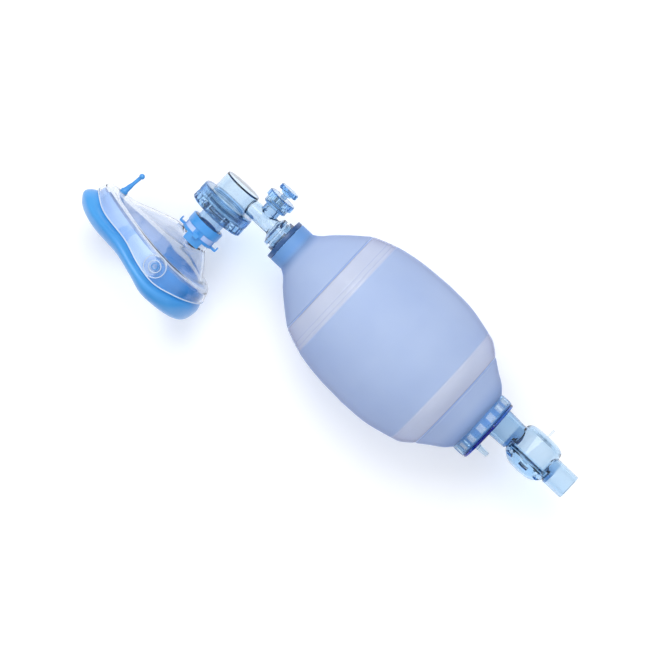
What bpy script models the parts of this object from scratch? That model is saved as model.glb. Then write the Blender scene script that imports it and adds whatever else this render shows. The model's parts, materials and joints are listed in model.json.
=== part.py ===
"""Bag valve mask: an adult hand resuscitator that lies on its side.

The bag's axis runs along X, from the elbow valve at -X to the reservoir tail at +X. The valve carries the
face mask towards -Y, and it is swivelled down about the bag's axis until the mask's cushion rests on the
plane that the bag rests on. Lengths are in metres, and +Z is up.

Four kinds of axis carry the pieces, each an empty whose local +Z runs along it:
  neck axis      from the bag's neck mouth towards the tail
  tail axis      from the bag's rear mouth away from the bag
  patient axis   from the elbow towards the patient's face
  release axis   from the elbow's inlet tube out through the pressure release valve
"""

import math

import bmesh
import bpy
from mathutils import Matrix, Vector

MM = 0.001

# General
BAG_SIDES = 32
SIDES = 28
INNER_SIDES = 20
SMALL_SIDES = 12
FIT_GAP = 0.3 * MM
EDGE = 0.5 * MM
WELD = 0.002 * MM
SMOOTH_ANGLE = math.radians(35)
STEEPEST_REST = math.radians(60)

# Bag
BAG_RADIUS = 64.5 * MM
BAG_FRONT_LENGTH = 109.0 * MM
BAG_REAR_LENGTH = 89.6 * MM
BAG_WALL = 2.4 * MM
BAG_NECK_RADIUS = 18.8 * MM
BAG_NECK_LENGTH = 11.4 * MM
BAG_SHOULDER_RADIUS = 29.4 * MM
BAG_MOUTH_RADIUS = 26.4 * MM
BAG_MOUTH_LENGTH = 8.0 * MM
GROOVE_DEPTH = 0.5 * MM
GROOVE_HALF_WIDTH = 0.7 * MM
# Share of each length, and share of the rise from the end's radius to the widest radius.
FRONT_SHAPE = [(0, 0), (0.047, 0.077), (0.113, 0.248), (0.202, 0.443), (0.335, 0.706)]
FRONT_DOME = [(0.335, 0.706), (0.513, 0.864), (0.735, 0.961), (1, 1)]
REAR_DOME = [(0, 1), (0.271, 0.967), (0.515, 0.828), (0.622, 0.744), (0.73, 0.53)]
REAR_SHAPE = [(0.73, 0.53), (0.838, 0.331), (0.946, 0.145), (1, 0)]

# Neck ring and the socket that the valve swivels in
NECK_RING_LENGTH = 3.8 * MM
SOCKET_TUBE_RADIUS = 15.7 * MM
SOCKET_DEPTH = 15.4 * MM
SOCKET_COLLAR_RADIUS = 13.5 * MM
SOCKET_COLLAR_LENGTH = 3.8 * MM
SOCKET_BORE = 11.3 * MM
SOCKET_WIDE_BORE = 13.8 * MM
SOCKET_STEP = 6.0 * MM

# Valve inlet: spigot, flange, flare and tube, in the order that they leave the neck
SPIGOT_DEPTH = 4.4 * MM
SPIGOT_BORE = 9.0 * MM
SEAL_GROOVE_WIDTH = 2.4 * MM
SEAL_GROOVE_DEPTH = 1.25 * MM
SEAL_GROOVE_INSET = 5.6 * MM
SEAL_THICKNESS = 1.1 * MM
INLET_GAP = 2.0 * MM
INLET_FLANGE_RADIUS = 12.4 * MM
INLET_FLANGE_LENGTH = 3.2 * MM
INLET_FLARE_LENGTH = 4.1 * MM
INLET_TUBE_RADIUS = 7.2 * MM
INLET_TUBE_BORE = 5.7 * MM
INLET_TUBE_RISE = 1.2 * MM
INLET_TUBE_LENGTH = 39.1 * MM
PRESSURE_BOSS_RADIUS = 3.4 * MM
PRESSURE_BOSS_HEIGHT = 0.7 * MM

# Elbow cup and the pieces that its ring nut clamps
CUP_RADIUS = 16.5 * MM
CUP_WALL = 1.6 * MM
CUP_RISE = 10.4 * MM
CUP_FLANGE_RADIUS = 21.0 * MM
CUP_FLANGE_START = 9.2 * MM
CLAMP_THICKNESS = 1.4 * MM
NUT_RADIUS = 24.5 * MM
NUT_BORE = 21.5 * MM
NUT_START = 7.3 * MM
NUT_LENGTH = 16.2 * MM
NUT_LIP = 1.6 * MM
NUT_VENT_GAP = 3.0 * MM
NUT_RIBS = 18
NUT_RIB_DEPTH = 0.8 * MM
LIP_VALVE_RADIUS = 20.5 * MM
LIP_VALVE_THICKNESS = 1.1 * MM
LIP_VALVE_WALL = 0.8 * MM
LIP_VALVE_MOUTH_RADIUS = 11.0 * MM
LIP_VALVE_DEPTH = 7.0 * MM
LIP_VALVE_SLIT = 0.6 * MM
# Share of the mouth's radius, and share of the depth.
LIP_VALVE_DOME = [(0.93, 0.4), (0.7, 0.8), (0.35, 1)]
PORT_PLATE_RADIUS = 21.1 * MM
PORT_PLATE_THICKNESS = 2.0 * MM
PORT_CUP_DEPTH = 9.3 * MM
PORT_CUP_WALL = 1.5 * MM
PORT_LIP_STEP = 3.5 * MM
PORT_LIP_LENGTH = 2.0 * MM
PORT_TUBE_RADIUS = 11.0 * MM
PORT_TUBE_BORE = 7.7 * MM
PORT_TUBE_LENGTH = 20.6 * MM
EXHAUST_HOLES = 8
EXHAUST_HOLE_RADIUS = 1.9 * MM
EXHAUST_RING_RADIUS = 17.0 * MM
FLAP_RADIUS = 20.4 * MM
FLAP_THICKNESS = 0.8 * MM

# Pressure release valve, by height above the bag's axis
RELEASE_DISTANCE = 26.4 * MM
RELEASE_BOSS_RADIUS = 7.4 * MM
RELEASE_BOSS_BORE = 4.0 * MM
RELEASE_SEAT_HEIGHT = 15.5 * MM
RELEASE_CAP_OVERLAP = 2.0 * MM
RELEASE_CAP_RADIUS = 10.5 * MM
RELEASE_LIP_RADIUS = 12.4 * MM
RELEASE_LIP_HEIGHT = 18.9 * MM
RELEASE_CAP_HEIGHT = 24.5 * MM
RELEASE_CAP_WALL = 1.5 * MM
RELEASE_CAP_RIBS = 10
RELEASE_RIB_DEPTH = 0.7 * MM
RELEASE_VENTS = 6
RELEASE_VENT_RADIUS = 1.2 * MM
RELEASE_SEAL_RADIUS = 6.3 * MM
RELEASE_SEAL_THICKNESS = 0.5 * MM
RELEASE_DISC_RADIUS = 6.5 * MM
RELEASE_DISC_THICKNESS = 1.3 * MM
RELEASE_STEM_RADIUS = 2.5 * MM
SPRING_WIRE_RADIUS = 0.35 * MM
SPRING_COIL_RADIUS = 4.6 * MM
SPRING_TURNS = 3.5
SPRING_POINTS_PER_TURN = 10
KNOB_CLEARANCE = 2.8 * MM
KNOB_NECK_RADIUS = 4.7 * MM
KNOB_NECK_HEIGHT = 2.0 * MM
KNOB_RADIUS = 8.9 * MM
KNOB_HEIGHT = 4.0 * MM
KNOB_TOP_WALL = 1.4 * MM
KNOB_LOBES = 8
KNOB_LOBE_DEPTH = 0.9 * MM

# Mask, by distance from the bag's axis along the patient axis
MASK_SIDES = 32
MASK_NOSE = 84.5 * MM
MASK_CHIN = 39.8 * MM
MASK_HALF_WIDTH = 46.0 * MM
MASK_TAPER = 0.35
MASK_WALL = 1.5 * MM
MASK_NECK_TOP = 31.9 * MM
MASK_NECK_WALL = 1.7 * MM
# Heights at the nose, the side and the chin, in millimetres.
MASK_NECK_FOOT = (47.4, 56.5, 51.5)
MASK_SHOULDER = (62.5, 68.5, 72.0)
# Rings of the cone: reach to the nose, reach to the chin, half width, taper and the three heights.
MASK_CONE = [
    (23, 15.6, 17, 0.05, (48.8, 58.5, 54)),
    (40, 21, 25.5, 0.15, (54.2, 62, 61)),
    (58.5, 27.3, 34, 0.25, (60.6, 66, 69.5)),
]
MASK_SHOULDER_INSET = 5.8 * MM
MASK_SKIRT_INSET = 2.2 * MM
MASK_SKIRT_DROP = 3.0 * MM
# Share of the way from nose to chin, and height in millimetres.
MASK_SEAM = [(0, 72.9), (0.13, 80), (0.37, 82.4), (0.54, 88.4), (0.69, 91.2), (0.83, 88.5), (1, 83.8)]
MASK_FACE = [(0, 95.5), (0.13, 96.6), (0.37, 96.4), (0.54, 100.4), (0.69, 105.5), (0.83, 106.4), (1, 107)]
CUSHION_WIDTH = 22.5 * MM
CUSHION_NOSE_BULGE = 7.6 * MM
CUSHION_CHIN_BULGE = 1.0 * MM
CUSHION_CLEARANCE = 0.5 * MM
# Outer side and face: share of the bulge, inset in millimetres and share of the way from seam to face.
CUSHION_SECTION = [
    (0.55, 0, 0.2),
    (1, 0, 0.45),
    (0.45, 1.5, 0.8),
    (0, 5.5, 0.97),
    (0, 10.5, 1),
    (0, 17, 0.86),
]
CUSHION_TOP_INSET = 2.4 * MM
CUSHION_TOP_DROP = 3.0 * MM
CUSHION_TOP_WIDTH = 11.5 * MM
CUSHION_CROWN_INSET = 5.5 * MM
CUSHION_LIP_STEP = 2.5 * MM
FILL_STEM_PLACE = 68.0 * MM
FILL_STEM_LEAN = math.radians(7.8)
FILL_STEM_RADIUS = 3.25 * MM
FILL_STEM_TIP_RADIUS = 1.6 * MM
FILL_STEM_BORE = 1.0 * MM
FILL_STEM_TOP = 43.6 * MM
FILL_STEM_FOOT_LENGTH = 3.0 * MM
FILL_STEM_TAPER_END = 0.6
PLUG_RADIUS = 2.4 * MM
PLUG_PEG_LENGTH = 4.0 * MM

# Strap hook ring on the mask's neck
HOOK_RING_WALL = 1.7 * MM
HOOK_RING_WAIST_STEP = 0.7 * MM
HOOK_RING_BAND = 7.4 * MM
HOOK_RING_FOOT = 2.0 * MM
HOOK_RING_LENGTH = 14.7 * MM
HOOK_STAND_OFF = 4.5 * MM
HOOK_WIDTH = 4.6 * MM
HOOK_THICKNESS = 2.4 * MM
HOOK_TIP_RISE = 3.4 * MM
APRON_RADIUS = 15.4 * MM
APRON_WIDTH = 15.0 * MM
APRON_LENGTH = 5.6 * MM

# Tail: clamp ring, plate, intake valve and oxygen nipple
CLAMP_RING_RADIUS = 29.0 * MM
CLAMP_RING_LENGTH = 10.6 * MM
CLAMP_RING_WINDOWS = 18
CLAMP_WINDOW_DEPTH = 1.0 * MM
CLAMP_WINDOW_MARGIN = 1.7 * MM
PLATE_RADIUS = 28.4 * MM
PLATE_THICKNESS = 2.4 * MM
PLATE_SPIGOT_WALL = 1.3 * MM
PLATE_SPIGOT_DEPTH = 8.8 * MM
SEAT_THICKNESS = 2.0 * MM
SEAT_HOLES = 8
SEAT_HOLE_RADIUS = 2.7 * MM
SEAT_HOLE_RING = 11.5 * MM
STUD_RADIUS = 1.5 * MM
STUD_HEAD_RADIUS = 2.9 * MM
STUD_HEAD_THICKNESS = 1.2 * MM
INTAKE_DISC_RADIUS = 17.5 * MM
INTAKE_DISC_THICKNESS = 0.8 * MM
INTAKE_TRAVEL = 2.0 * MM
NIPPLE_OFFSET = -14.8 * MM
NIPPLE_RADIUS = 2.95 * MM
NIPPLE_TIP_RADIUS = 2.1 * MM
NIPPLE_BORE = 1.2 * MM
NIPPLE_LENGTH = 11.5 * MM
NIPPLE_ROOT_RADIUS = 2.1 * MM
NIPPLE_FLANGE_RADIUS = 4.0 * MM
NIPPLE_FLANGE_THICKNESS = 1.5 * MM

# Reservoir valve: inlet tube, drum chamber and end connector
RESERVOIR_OFFSET = 11.0 * MM
RESERVOIR_SPIGOT_RADIUS = 10.8 * MM
RESERVOIR_TUBE_RADIUS = 13.0 * MM
RESERVOIR_TUBE_BORE = 9.4 * MM
RESERVOIR_TUBE_TAPER = 0.8 * MM
RESERVOIR_TUBE_LENGTH = 17.0 * MM
DRUM_RADIUS = 18.7 * MM
DRUM_WALL = 1.4 * MM
DRUM_HEIGHT = 18.6 * MM
DRUM_SKIRT = 7.2 * MM
# Crown: share of the radius, and millimetres below the top.
DRUM_CROWN = [(0.5, 0.3), (0.8, 1.6), (0.96, 4.2), (1, 7.4)]
DRUM_WEB = 2.2 * MM
PASSAGE_RADIUS = 5.8 * MM
PASSAGE_RISE = 2.9 * MM
CONNECTOR_RADIUS = 11.0 * MM
CONNECTOR_BORE = 9.3 * MM
CONNECTOR_LENGTH = 21.0 * MM
VENT_CAP_WALL = 1.6 * MM
VENT_CAP_START = 3.9 * MM
VENT_CAP_DEPTH = 18.8 * MM
VENT_SLOTS = 6
VENT_SLOT_LENGTH = 8.5 * MM
VENT_SLOT_WIDTH = 2.6 * MM
VENT_SLOT_SLANT = math.radians(42)
# The slots' centre: share of the cap's radius, and share of its depth.
VENT_SLOT_PLACE = (0.84, 0.64)
# Bowl: share of the radius, and share of the depth.
VENT_CAP_BOWL = [(1, 0.25), (0.93, 0.5), (0.73, 0.76), (0.44, 0.94), (0, 1)]
VENT_SEAT_THICKNESS = 1.6 * MM
VENT_SEAT_HOLES = 6
VENT_SEAT_HOLE_RADIUS = 2.4 * MM
VENT_SEAT_HOLE_INSET = 4.5 * MM
VENT_STUD_RADIUS = 1.3 * MM
RELIEF_DISC_MARGIN = 3.8 * MM
RELIEF_DISC_THICKNESS = 0.8 * MM
RELIEF_TRAVEL = 2.0 * MM
AIR_DISC_MARGIN = 0.75 * MM
AIR_DISC_THICKNESS = 0.7 * MM
AIR_STEM_RADIUS = 0.9 * MM
AIR_STEM_REACH = 25.6 * MM
AIR_HOLES = 6
AIR_HOLE_RADIUS = 1.4 * MM
AIR_HOLE_INSET = 3.2 * MM

# Places that follow from the sizes above
NECK_X = -BAG_FRONT_LENGTH - BAG_NECK_LENGTH
TAIL_X = BAG_REAR_LENGTH
RING_START = -NECK_RING_LENGTH - FIT_GAP
COLLAR_END = RING_START - FIT_GAP
COLLAR_START = COLLAR_END - SOCKET_COLLAR_LENGTH
FLANGE_END = COLLAR_START - INLET_GAP
FLANGE_START = FLANGE_END - INLET_FLANGE_LENGTH
FLARE_START = FLANGE_START - INLET_FLARE_LENGTH
PATIENT_X = NECK_X + FLARE_START - INLET_TUBE_LENGTH
CLAMP_START = CUP_FLANGE_START + CLAMP_THICKNESS
PORT_START = CLAMP_START + LIP_VALVE_THICKNESS + 2 * FIT_GAP
PORT_CUP_BORE = LIP_VALVE_MOUTH_RADIUS + 2 * FIT_GAP
PORT_CUP_RADIUS = PORT_CUP_BORE + PORT_CUP_WALL
PORT_LIP_RADIUS = PORT_TUBE_RADIUS + PORT_LIP_STEP
NUT_END = NUT_START + NUT_LENGTH
MASK_NECK_BORE = PORT_TUBE_RADIUS + FIT_GAP
MASK_NECK_RADIUS = MASK_NECK_BORE + MASK_NECK_WALL
HOOK_RING_BORE = MASK_NECK_RADIUS + FIT_GAP
HOOK_RING_RADIUS = HOOK_RING_BORE + HOOK_RING_WALL
HOOK_RING_WAIST = HOOK_RING_RADIUS - HOOK_RING_WAIST_STEP
HOOK_REACH = HOOK_RING_RADIUS + HOOK_STAND_OFF
FILL_STEM_ROOT = MASK_SHOULDER[0] * MM
FILL_STEM_LENGTH = FILL_STEM_ROOT - FILL_STEM_TOP
DISC_BOTTOM = RELEASE_SEAT_HEIGHT + RELEASE_SEAL_THICKNESS + 2 * FIT_GAP
DISC_TOP = DISC_BOTTOM + RELEASE_DISC_THICKNESS
KNOB_BOTTOM = RELEASE_CAP_HEIGHT + KNOB_CLEARANCE
KNOB_TOP = KNOB_BOTTOM + KNOB_NECK_HEIGHT + KNOB_HEIGHT
CLAMP_RING_END = FIT_GAP + CLAMP_RING_LENGTH
PLATE_START = CLAMP_RING_END + FIT_GAP
PLATE_END = PLATE_START + PLATE_THICKNESS
PLATE_SPIGOT_RADIUS = BAG_MOUTH_RADIUS - BAG_WALL - FIT_GAP
SEAT_START = PLATE_START - PLATE_SPIGOT_DEPTH + FIT_GAP
TUBE_START = PLATE_END + FIT_GAP
DRUM_CENTRE = TUBE_START + RESERVOIR_TUBE_LENGTH + DRUM_RADIUS + VENT_CAP_WALL
VENT_CAP_RADIUS = DRUM_RADIUS + FIT_GAP + VENT_CAP_WALL
VENT_SEAT_TOP = -DRUM_SKIRT + VENT_SEAT_THICKNESS + 2 * FIT_GAP
VENT_SEAT_BOTTOM = VENT_SEAT_TOP - VENT_SEAT_THICKNESS
RELIEF_DISC_RADIUS = DRUM_RADIUS - DRUM_WALL - RELIEF_DISC_MARGIN
VENT_SEAT_HOLE_RING = RELIEF_DISC_RADIUS - VENT_SEAT_HOLE_INSET
AIR_DISC_RADIUS = DRUM_CROWN[0][0] * DRUM_RADIUS - AIR_DISC_MARGIN
AIR_HOLE_RING = AIR_DISC_RADIUS - AIR_HOLE_INSET


# ---------------------------------------------------------------- tools


def clear_scene():
    for thing in list(bpy.data.objects):
        bpy.data.objects.remove(thing, do_unlink=True)


def finish(name, colour, roughness, metallic=0.0, alpha=1.0):
    """A Principled material; clear pieces have an alpha below 1."""
    material = bpy.data.materials.new(name)
    material.use_nodes = True
    shader = material.node_tree.nodes["Principled BSDF"]
    shader.inputs["Base Color"].default_value = (*colour, 1)
    shader.inputs["Roughness"].default_value = roughness
    shader.inputs["Metallic"].default_value = metallic
    shader.inputs["Alpha"].default_value = alpha
    material.diffuse_color = (*colour, alpha)
    return material


def axis(name, parent=None, location=(0, 0, 0), rotation=(0, 0, 0)):
    """An empty whose local +Z is the axis that pieces are placed along."""
    empty = bpy.data.objects.new(name, None)
    bpy.context.scene.collection.objects.link(empty)
    empty.parent = parent
    empty.location = location
    empty.rotation_euler = rotation
    return empty


def solid(name, mesh, parent, material=None, location=(0, 0, 0), rotation=(0, 0, 0)):
    """A named object from a bmesh. Without a material it is a hidden helper for a Boolean."""
    bmesh.ops.remove_doubles(mesh, verts=mesh.verts, dist=WELD)
    bmesh.ops.recalc_face_normals(mesh, faces=mesh.faces)
    data = bpy.data.meshes.new(name)
    mesh.to_mesh(data)
    mesh.free()
    data.shade_smooth()
    data.set_sharp_from_angle(angle=SMOOTH_ANGLE)
    thing = bpy.data.objects.new(name, data)
    bpy.context.scene.collection.objects.link(thing)
    thing.parent = parent
    thing.location = location
    thing.rotation_euler = rotation
    if material is None:
        thing.hide_render = True
        thing.display_type = "WIRE"
    else:
        data.materials.append(material)
    return thing


def turned(name, outline, parent, material=None, sides=SIDES, location=(0, 0, 0), ribs=None):
    """Spin a closed (radius, station) outline about local Z. ribs is (count, depth, low, high)."""
    if ribs:
        sides = 4 * ribs[0]
    mesh = bmesh.new()
    points = [mesh.verts.new((radius, 0, station)) for radius, station in outline]
    for first, second in zip(points, points[1:] + points[:1]):
        if first.co.x > 0 or second.co.x > 0:
            mesh.edges.new((first, second))
    half_step = Matrix.Rotation(math.pi / sides, 3, "Z")
    bmesh.ops.rotate(mesh, verts=mesh.verts, cent=(0, 0, 0), matrix=half_step)
    profile = mesh.verts[:] + mesh.edges[:]
    bmesh.ops.spin(mesh, geom=profile, axis=(0, 0, 1), angle=2 * math.pi, steps=sides, use_merge=True)
    if ribs:
        carve_valleys(mesh, *ribs)
    return solid(name, mesh, parent, material, location)


def carve_valleys(mesh, count, depth, low, high):
    """Sink every second pair of points of the outer surface, which leaves ribs between the valleys."""
    outer = max(math.hypot(*point.co.xy) for point in mesh.verts if low < point.co.z < high)
    for point in mesh.verts:
        radius = math.hypot(*point.co.xy)
        turn = math.atan2(point.co.y, point.co.x) / (2 * math.pi)
        in_valley = (turn * count) % 1 > 0.5
        if in_valley and low < point.co.z < high and radius > outer - depth:
            point.co.xy *= (radius - depth) / radius


def skinned(name, rings, parent, material=None, capped=False, location=(0, 0, 0)):
    """Join rings of points one to the next. The last ring meets the first, or both end rings are capped."""
    mesh = bmesh.new()
    loops = [[mesh.verts.new(point) for point in ring] for ring in rings]
    pairs = list(zip(loops, loops[1:]))
    if capped:
        mesh.faces.new(loops[0])
        mesh.faces.new(loops[-1])
    else:
        pairs.append((loops[-1], loops[0]))
    for ring, following in pairs:
        for i in range(len(ring)):
            j = (i + 1) % len(ring)
            mesh.faces.new((ring[i], ring[j], following[j], following[i]))
    return solid(name, mesh, parent, material, location)


def block(name, size, parent, location=(0, 0, 0), rotation=(0, 0, 0)):
    """A hidden box for a Boolean, centred on its location."""
    mesh = bmesh.new()
    bmesh.ops.create_cube(mesh, size=1)
    bmesh.ops.scale(mesh, vec=size, verts=mesh.verts)
    return solid(name, mesh, parent, None, location, rotation)


def rod(name, radius, low, high, parent, location=(0, 0, 0), sides=SMALL_SIDES):
    """A hidden cylinder for a Boolean."""
    return turned(name, [(0, high), (radius, high), (radius, low), (0, low)], parent, None, sides, location)


def ring_of_rods(name, count, ring_radius, radius, low, high, parent, sides=8):
    """A hidden ring of cylinders for a Boolean, with one over local +X."""
    mesh = bmesh.new()
    for i in range(count):
        turn = Matrix.Rotation(2 * math.pi * i / count, 4, "Z")
        place = turn @ Matrix.Translation((ring_radius, 0, (low + high) / 2))
        bmesh.ops.create_cone(
            mesh,
            cap_ends=True,
            segments=sides,
            radius1=radius,
            radius2=radius,
            depth=high - low,
            matrix=place,
        )
    return solid(name, mesh, parent)


def combine(target, operation, *tools):
    for tool in tools:
        modifier = target.modifiers.new(tool.name, "BOOLEAN")
        modifier.operation = operation
        modifier.object = tool


def cut(target, *tools):
    combine(target, "DIFFERENCE", *tools)


def add(target, *tools):
    combine(target, "UNION", *tools)


def smooth_through(knots, place):
    """The value at place on a smooth curve through (place, value) knots."""
    places = [knot[0] for knot in knots]
    values = [knot[1] for knot in knots]
    last = len(knots) - 1
    slopes = []
    for i in range(len(knots)):
        before, after = max(i - 1, 0), min(i + 1, last)
        slopes.append((values[after] - values[before]) / (places[after] - places[before]))
    i = max(k for k in range(last) if places[k] <= place)
    span = places[i + 1] - places[i]
    t = (place - places[i]) / span
    ease = t * t * (3 - 2 * t)
    start = t * (1 - t) ** 2 * span * slopes[i]
    end = t * t * (t - 1) * span * slopes[i + 1]
    return values[i] * (1 - ease) + values[i + 1] * ease + start + end


# ---------------------------------------------------------------- bag


def bag_curve(shape, steps, end_radius, length, start):
    """(place along the bag's axis, radius) on one stretch of the bag's side."""
    low, high = shape[0][0], shape[-1][0]
    shares = [low + (high - low) * i / steps for i in range(steps + 1)]
    rise = BAG_RADIUS - end_radius
    return [(start + share * length, end_radius + smooth_through(shape, share) * rise) for share in shares]


def bag_outline():
    """The bag's outer side from neck to mouth, with a moulded groove at each of its two folds."""
    front = bag_curve(FRONT_SHAPE, 4, BAG_NECK_RADIUS, BAG_FRONT_LENGTH, -BAG_FRONT_LENGTH)
    dome = bag_curve(FRONT_DOME, 4, BAG_NECK_RADIUS, BAG_FRONT_LENGTH, -BAG_FRONT_LENGTH)
    rear_dome = bag_curve(REAR_DOME, 4, BAG_SHOULDER_RADIUS, BAG_REAR_LENGTH, 0)
    rear = bag_curve(REAR_SHAPE, 3, BAG_SHOULDER_RADIUS, BAG_REAR_LENGTH, 0)
    return front[:-1] + groove(front[-1]) + dome[1:] + rear_dome[1:-1] + groove(rear_dome[-1]) + rear[1:]


def groove(bottom):
    place, radius = bottom
    sides = [(place - GROOVE_HALF_WIDTH, radius), (place + GROOVE_HALF_WIDTH, radius)]
    return [sides[0], (place, radius - GROOVE_DEPTH), sides[1]]


def bag_shell(parent, material):
    outer = bag_outline()
    widest = max(radius for _, radius in outer)
    inner = [(x, r - BAG_WALL) for x, r in outer[::2] if r < widest] + [(0, BAG_RADIUS - BAG_WALL)]
    inner = sorted(inner[1:])
    neck_bore = BAG_NECK_RADIUS - BAG_WALL
    mouth_bore = BAG_MOUTH_RADIUS - BAG_WALL
    mouth_end = TAIL_X + BAG_MOUTH_LENGTH
    walls = [(NECK_X, BAG_NECK_RADIUS)] + outer
    walls += [(TAIL_X, BAG_MOUTH_RADIUS), (mouth_end, BAG_MOUTH_RADIUS), (mouth_end, mouth_bore)]
    walls += [(TAIL_X - BAG_WALL, mouth_bore)] + inner[::-1]
    walls += [(-BAG_FRONT_LENGTH, neck_bore), (NECK_X, neck_bore)]
    return turned("bag_shell", [(radius, x) for x, radius in walls], parent, material, BAG_SIDES)


def neck_ring(parent, material):
    bore = SOCKET_TUBE_RADIUS + FIT_GAP
    outline = [
        (bore, RING_START),
        (BAG_NECK_RADIUS - EDGE, RING_START),
        (BAG_NECK_RADIUS, RING_START + EDGE),
        (BAG_NECK_RADIUS, -FIT_GAP),
        (bore, -FIT_GAP),
    ]
    return turned("neck_ring", outline, parent, material)


def swivel_socket(parent, material):
    """The rigid tube in the bag's neck that the valve's spigot turns in."""
    outline = [
        (SOCKET_BORE, COLLAR_START),
        (SOCKET_COLLAR_RADIUS, COLLAR_START),
        (SOCKET_COLLAR_RADIUS, COLLAR_END),
        (SOCKET_TUBE_RADIUS, COLLAR_END),
        (SOCKET_TUBE_RADIUS, SOCKET_DEPTH),
        (SOCKET_WIDE_BORE, SOCKET_DEPTH),
        (SOCKET_WIDE_BORE, SOCKET_STEP + EDGE),
        (SOCKET_BORE, SOCKET_STEP),
    ]
    return turned("swivel_socket", outline, parent, material)


# ---------------------------------------------------------------- elbow valve


def circle(radius, station, rise=0.0, sides=SIDES):
    """Points round the neck axis at a station; rise lifts the circle off the axis towards +Y."""
    turns = [2 * math.pi * (i + 0.5) / sides for i in range(sides)]
    return [Vector((radius * math.cos(a), radius * math.sin(a) + rise, station)) for a in turns]


def valve_housing(neck, patient, release, pressure, material):
    """Elbow: inlet with its spigot and flare, cup over the patient axis, and the release valve's boss."""
    groove_end = SPIGOT_DEPTH - SEAL_GROOVE_INSET
    groove_start = groove_end - SEAL_GROOVE_WIDTH
    spigot = SOCKET_BORE - FIT_GAP
    groove_radius = spigot - SEAL_GROOVE_DEPTH
    tube_start = FLARE_START - INLET_TUBE_LENGTH + CUP_RADIUS / 2
    inlet = [
        circle(INLET_TUBE_RADIUS, tube_start, INLET_TUBE_RISE),
        circle(INLET_TUBE_RADIUS, FLARE_START, INLET_TUBE_RISE),
        circle(INLET_FLANGE_RADIUS, FLANGE_START),
        circle(INLET_FLANGE_RADIUS, FLANGE_END),
        circle(spigot, FLANGE_END),
        circle(spigot, groove_start),
        circle(groove_radius, groove_start),
        circle(groove_radius, groove_end),
        circle(spigot, groove_end),
        circle(spigot, SPIGOT_DEPTH - EDGE),
        circle(spigot - EDGE, SPIGOT_DEPTH),
    ]
    bore = [
        circle(INLET_TUBE_BORE, tube_start - CUP_RADIUS / 4, INLET_TUBE_RISE),
        circle(INLET_TUBE_BORE, FLARE_START, INLET_TUBE_RISE),
        circle(SPIGOT_BORE, FLANGE_START),
        circle(SPIGOT_BORE, SPIGOT_DEPTH + FIT_GAP),
    ]
    cup = [
        (0, -CUP_RISE),
        (CUP_RADIUS - EDGE, -CUP_RISE),
        (CUP_RADIUS, EDGE - CUP_RISE),
        (CUP_RADIUS, CUP_FLANGE_START),
        (CUP_FLANGE_RADIUS, CUP_FLANGE_START),
        (CUP_FLANGE_RADIUS, CLAMP_START),
        (0, CLAMP_START),
    ]
    housing = turned("valve_housing", cup, patient, material)
    boss = rod("release_boss", RELEASE_BOSS_RADIUS, INLET_TUBE_RISE, RELEASE_SEAT_HEIGHT, release)
    port_height = INLET_TUBE_RADIUS + PRESSURE_BOSS_HEIGHT
    port = rod("pressure_boss", PRESSURE_BOSS_RADIUS, 0, port_height, pressure)
    add(housing, skinned("inlet_body", inlet, neck, capped=True), boss, port)
    cup_floor, cup_mouth = CUP_WALL - CUP_RISE, CLAMP_START + EDGE
    cup_bore = rod("cup_bore", CUP_RADIUS - CUP_WALL, cup_floor, cup_mouth, patient, sides=SIDES)
    seat_end = RELEASE_SEAT_HEIGHT + EDGE
    release_bore = rod("release_bore", RELEASE_BOSS_BORE, INLET_TUBE_RISE, seat_end, release)
    cut(housing, cup_bore, skinned("inlet_bore", bore, neck, capped=True), release_bore)
    return housing


def swivel_seal(parent, material):
    """O-ring in the spigot's groove."""
    middle = SPIGOT_DEPTH - SEAL_GROOVE_INSET - SEAL_GROOVE_WIDTH / 2
    half = SEAL_THICKNESS / 2
    centre = SOCKET_BORE - FIT_GAP / 2 - half
    turns = [2 * math.pi * (i + 0.5) / 6 for i in range(6)]
    outline = [(centre + half * math.cos(a), middle + half * math.sin(a)) for a in turns]
    return turned("swivel_seal", outline, parent, material, INNER_SIDES)


def ring_nut(parent, material):
    lip_bore = CUP_RADIUS + FIT_GAP
    vent_bore = PORT_LIP_RADIUS + NUT_VENT_GAP
    outline = [
        (lip_bore, NUT_START),
        (NUT_RADIUS - EDGE, NUT_START),
        (NUT_RADIUS, NUT_START + EDGE),
        (NUT_RADIUS, NUT_START + 3 * EDGE),
        (NUT_RADIUS, NUT_END - 3 * EDGE),
        (NUT_RADIUS, NUT_END - EDGE),
        (NUT_RADIUS - EDGE, NUT_END),
        (vent_bore, NUT_END),
        (vent_bore, NUT_END - NUT_LIP),
        (NUT_BORE, NUT_END - NUT_LIP),
        (NUT_BORE, NUT_START + NUT_LIP),
        (lip_bore, NUT_START + NUT_LIP),
    ]
    ribs = (NUT_RIBS, NUT_RIB_DEPTH, NUT_START + 2 * EDGE, NUT_END - 2 * EDGE)
    return turned("ring_nut", outline, parent, material, ribs=ribs)


def lip_valve(parent, material):
    """Soft one-piece valve: a clamped rim and a domed mouth with a slit."""
    start = CLAMP_START + FIT_GAP
    end = start + LIP_VALVE_THICKNESS
    tip = end + LIP_VALVE_DEPTH
    mouth = LIP_VALVE_MOUTH_RADIUS
    wall = LIP_VALVE_WALL
    dome = [(share * mouth, end + down * LIP_VALVE_DEPTH) for share, down in LIP_VALVE_DOME]
    inside = [(radius - wall, height - wall * (height - end) / LIP_VALVE_DEPTH) for radius, height in dome]
    outline = [(LIP_VALVE_RADIUS, start), (LIP_VALVE_RADIUS, end), (mouth, end)] + dome
    outline += [(0, tip), (0, tip - wall)] + inside[::-1] + [(mouth - wall, start)]
    valve = turned("lip_valve", outline, parent, material, INNER_SIDES)
    slit_size = (1.5 * mouth, LIP_VALVE_SLIT, LIP_VALVE_DEPTH / 2)
    cut(valve, block("lip_slit", slit_size, parent, (0, 0, tip)))
    return valve


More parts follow.
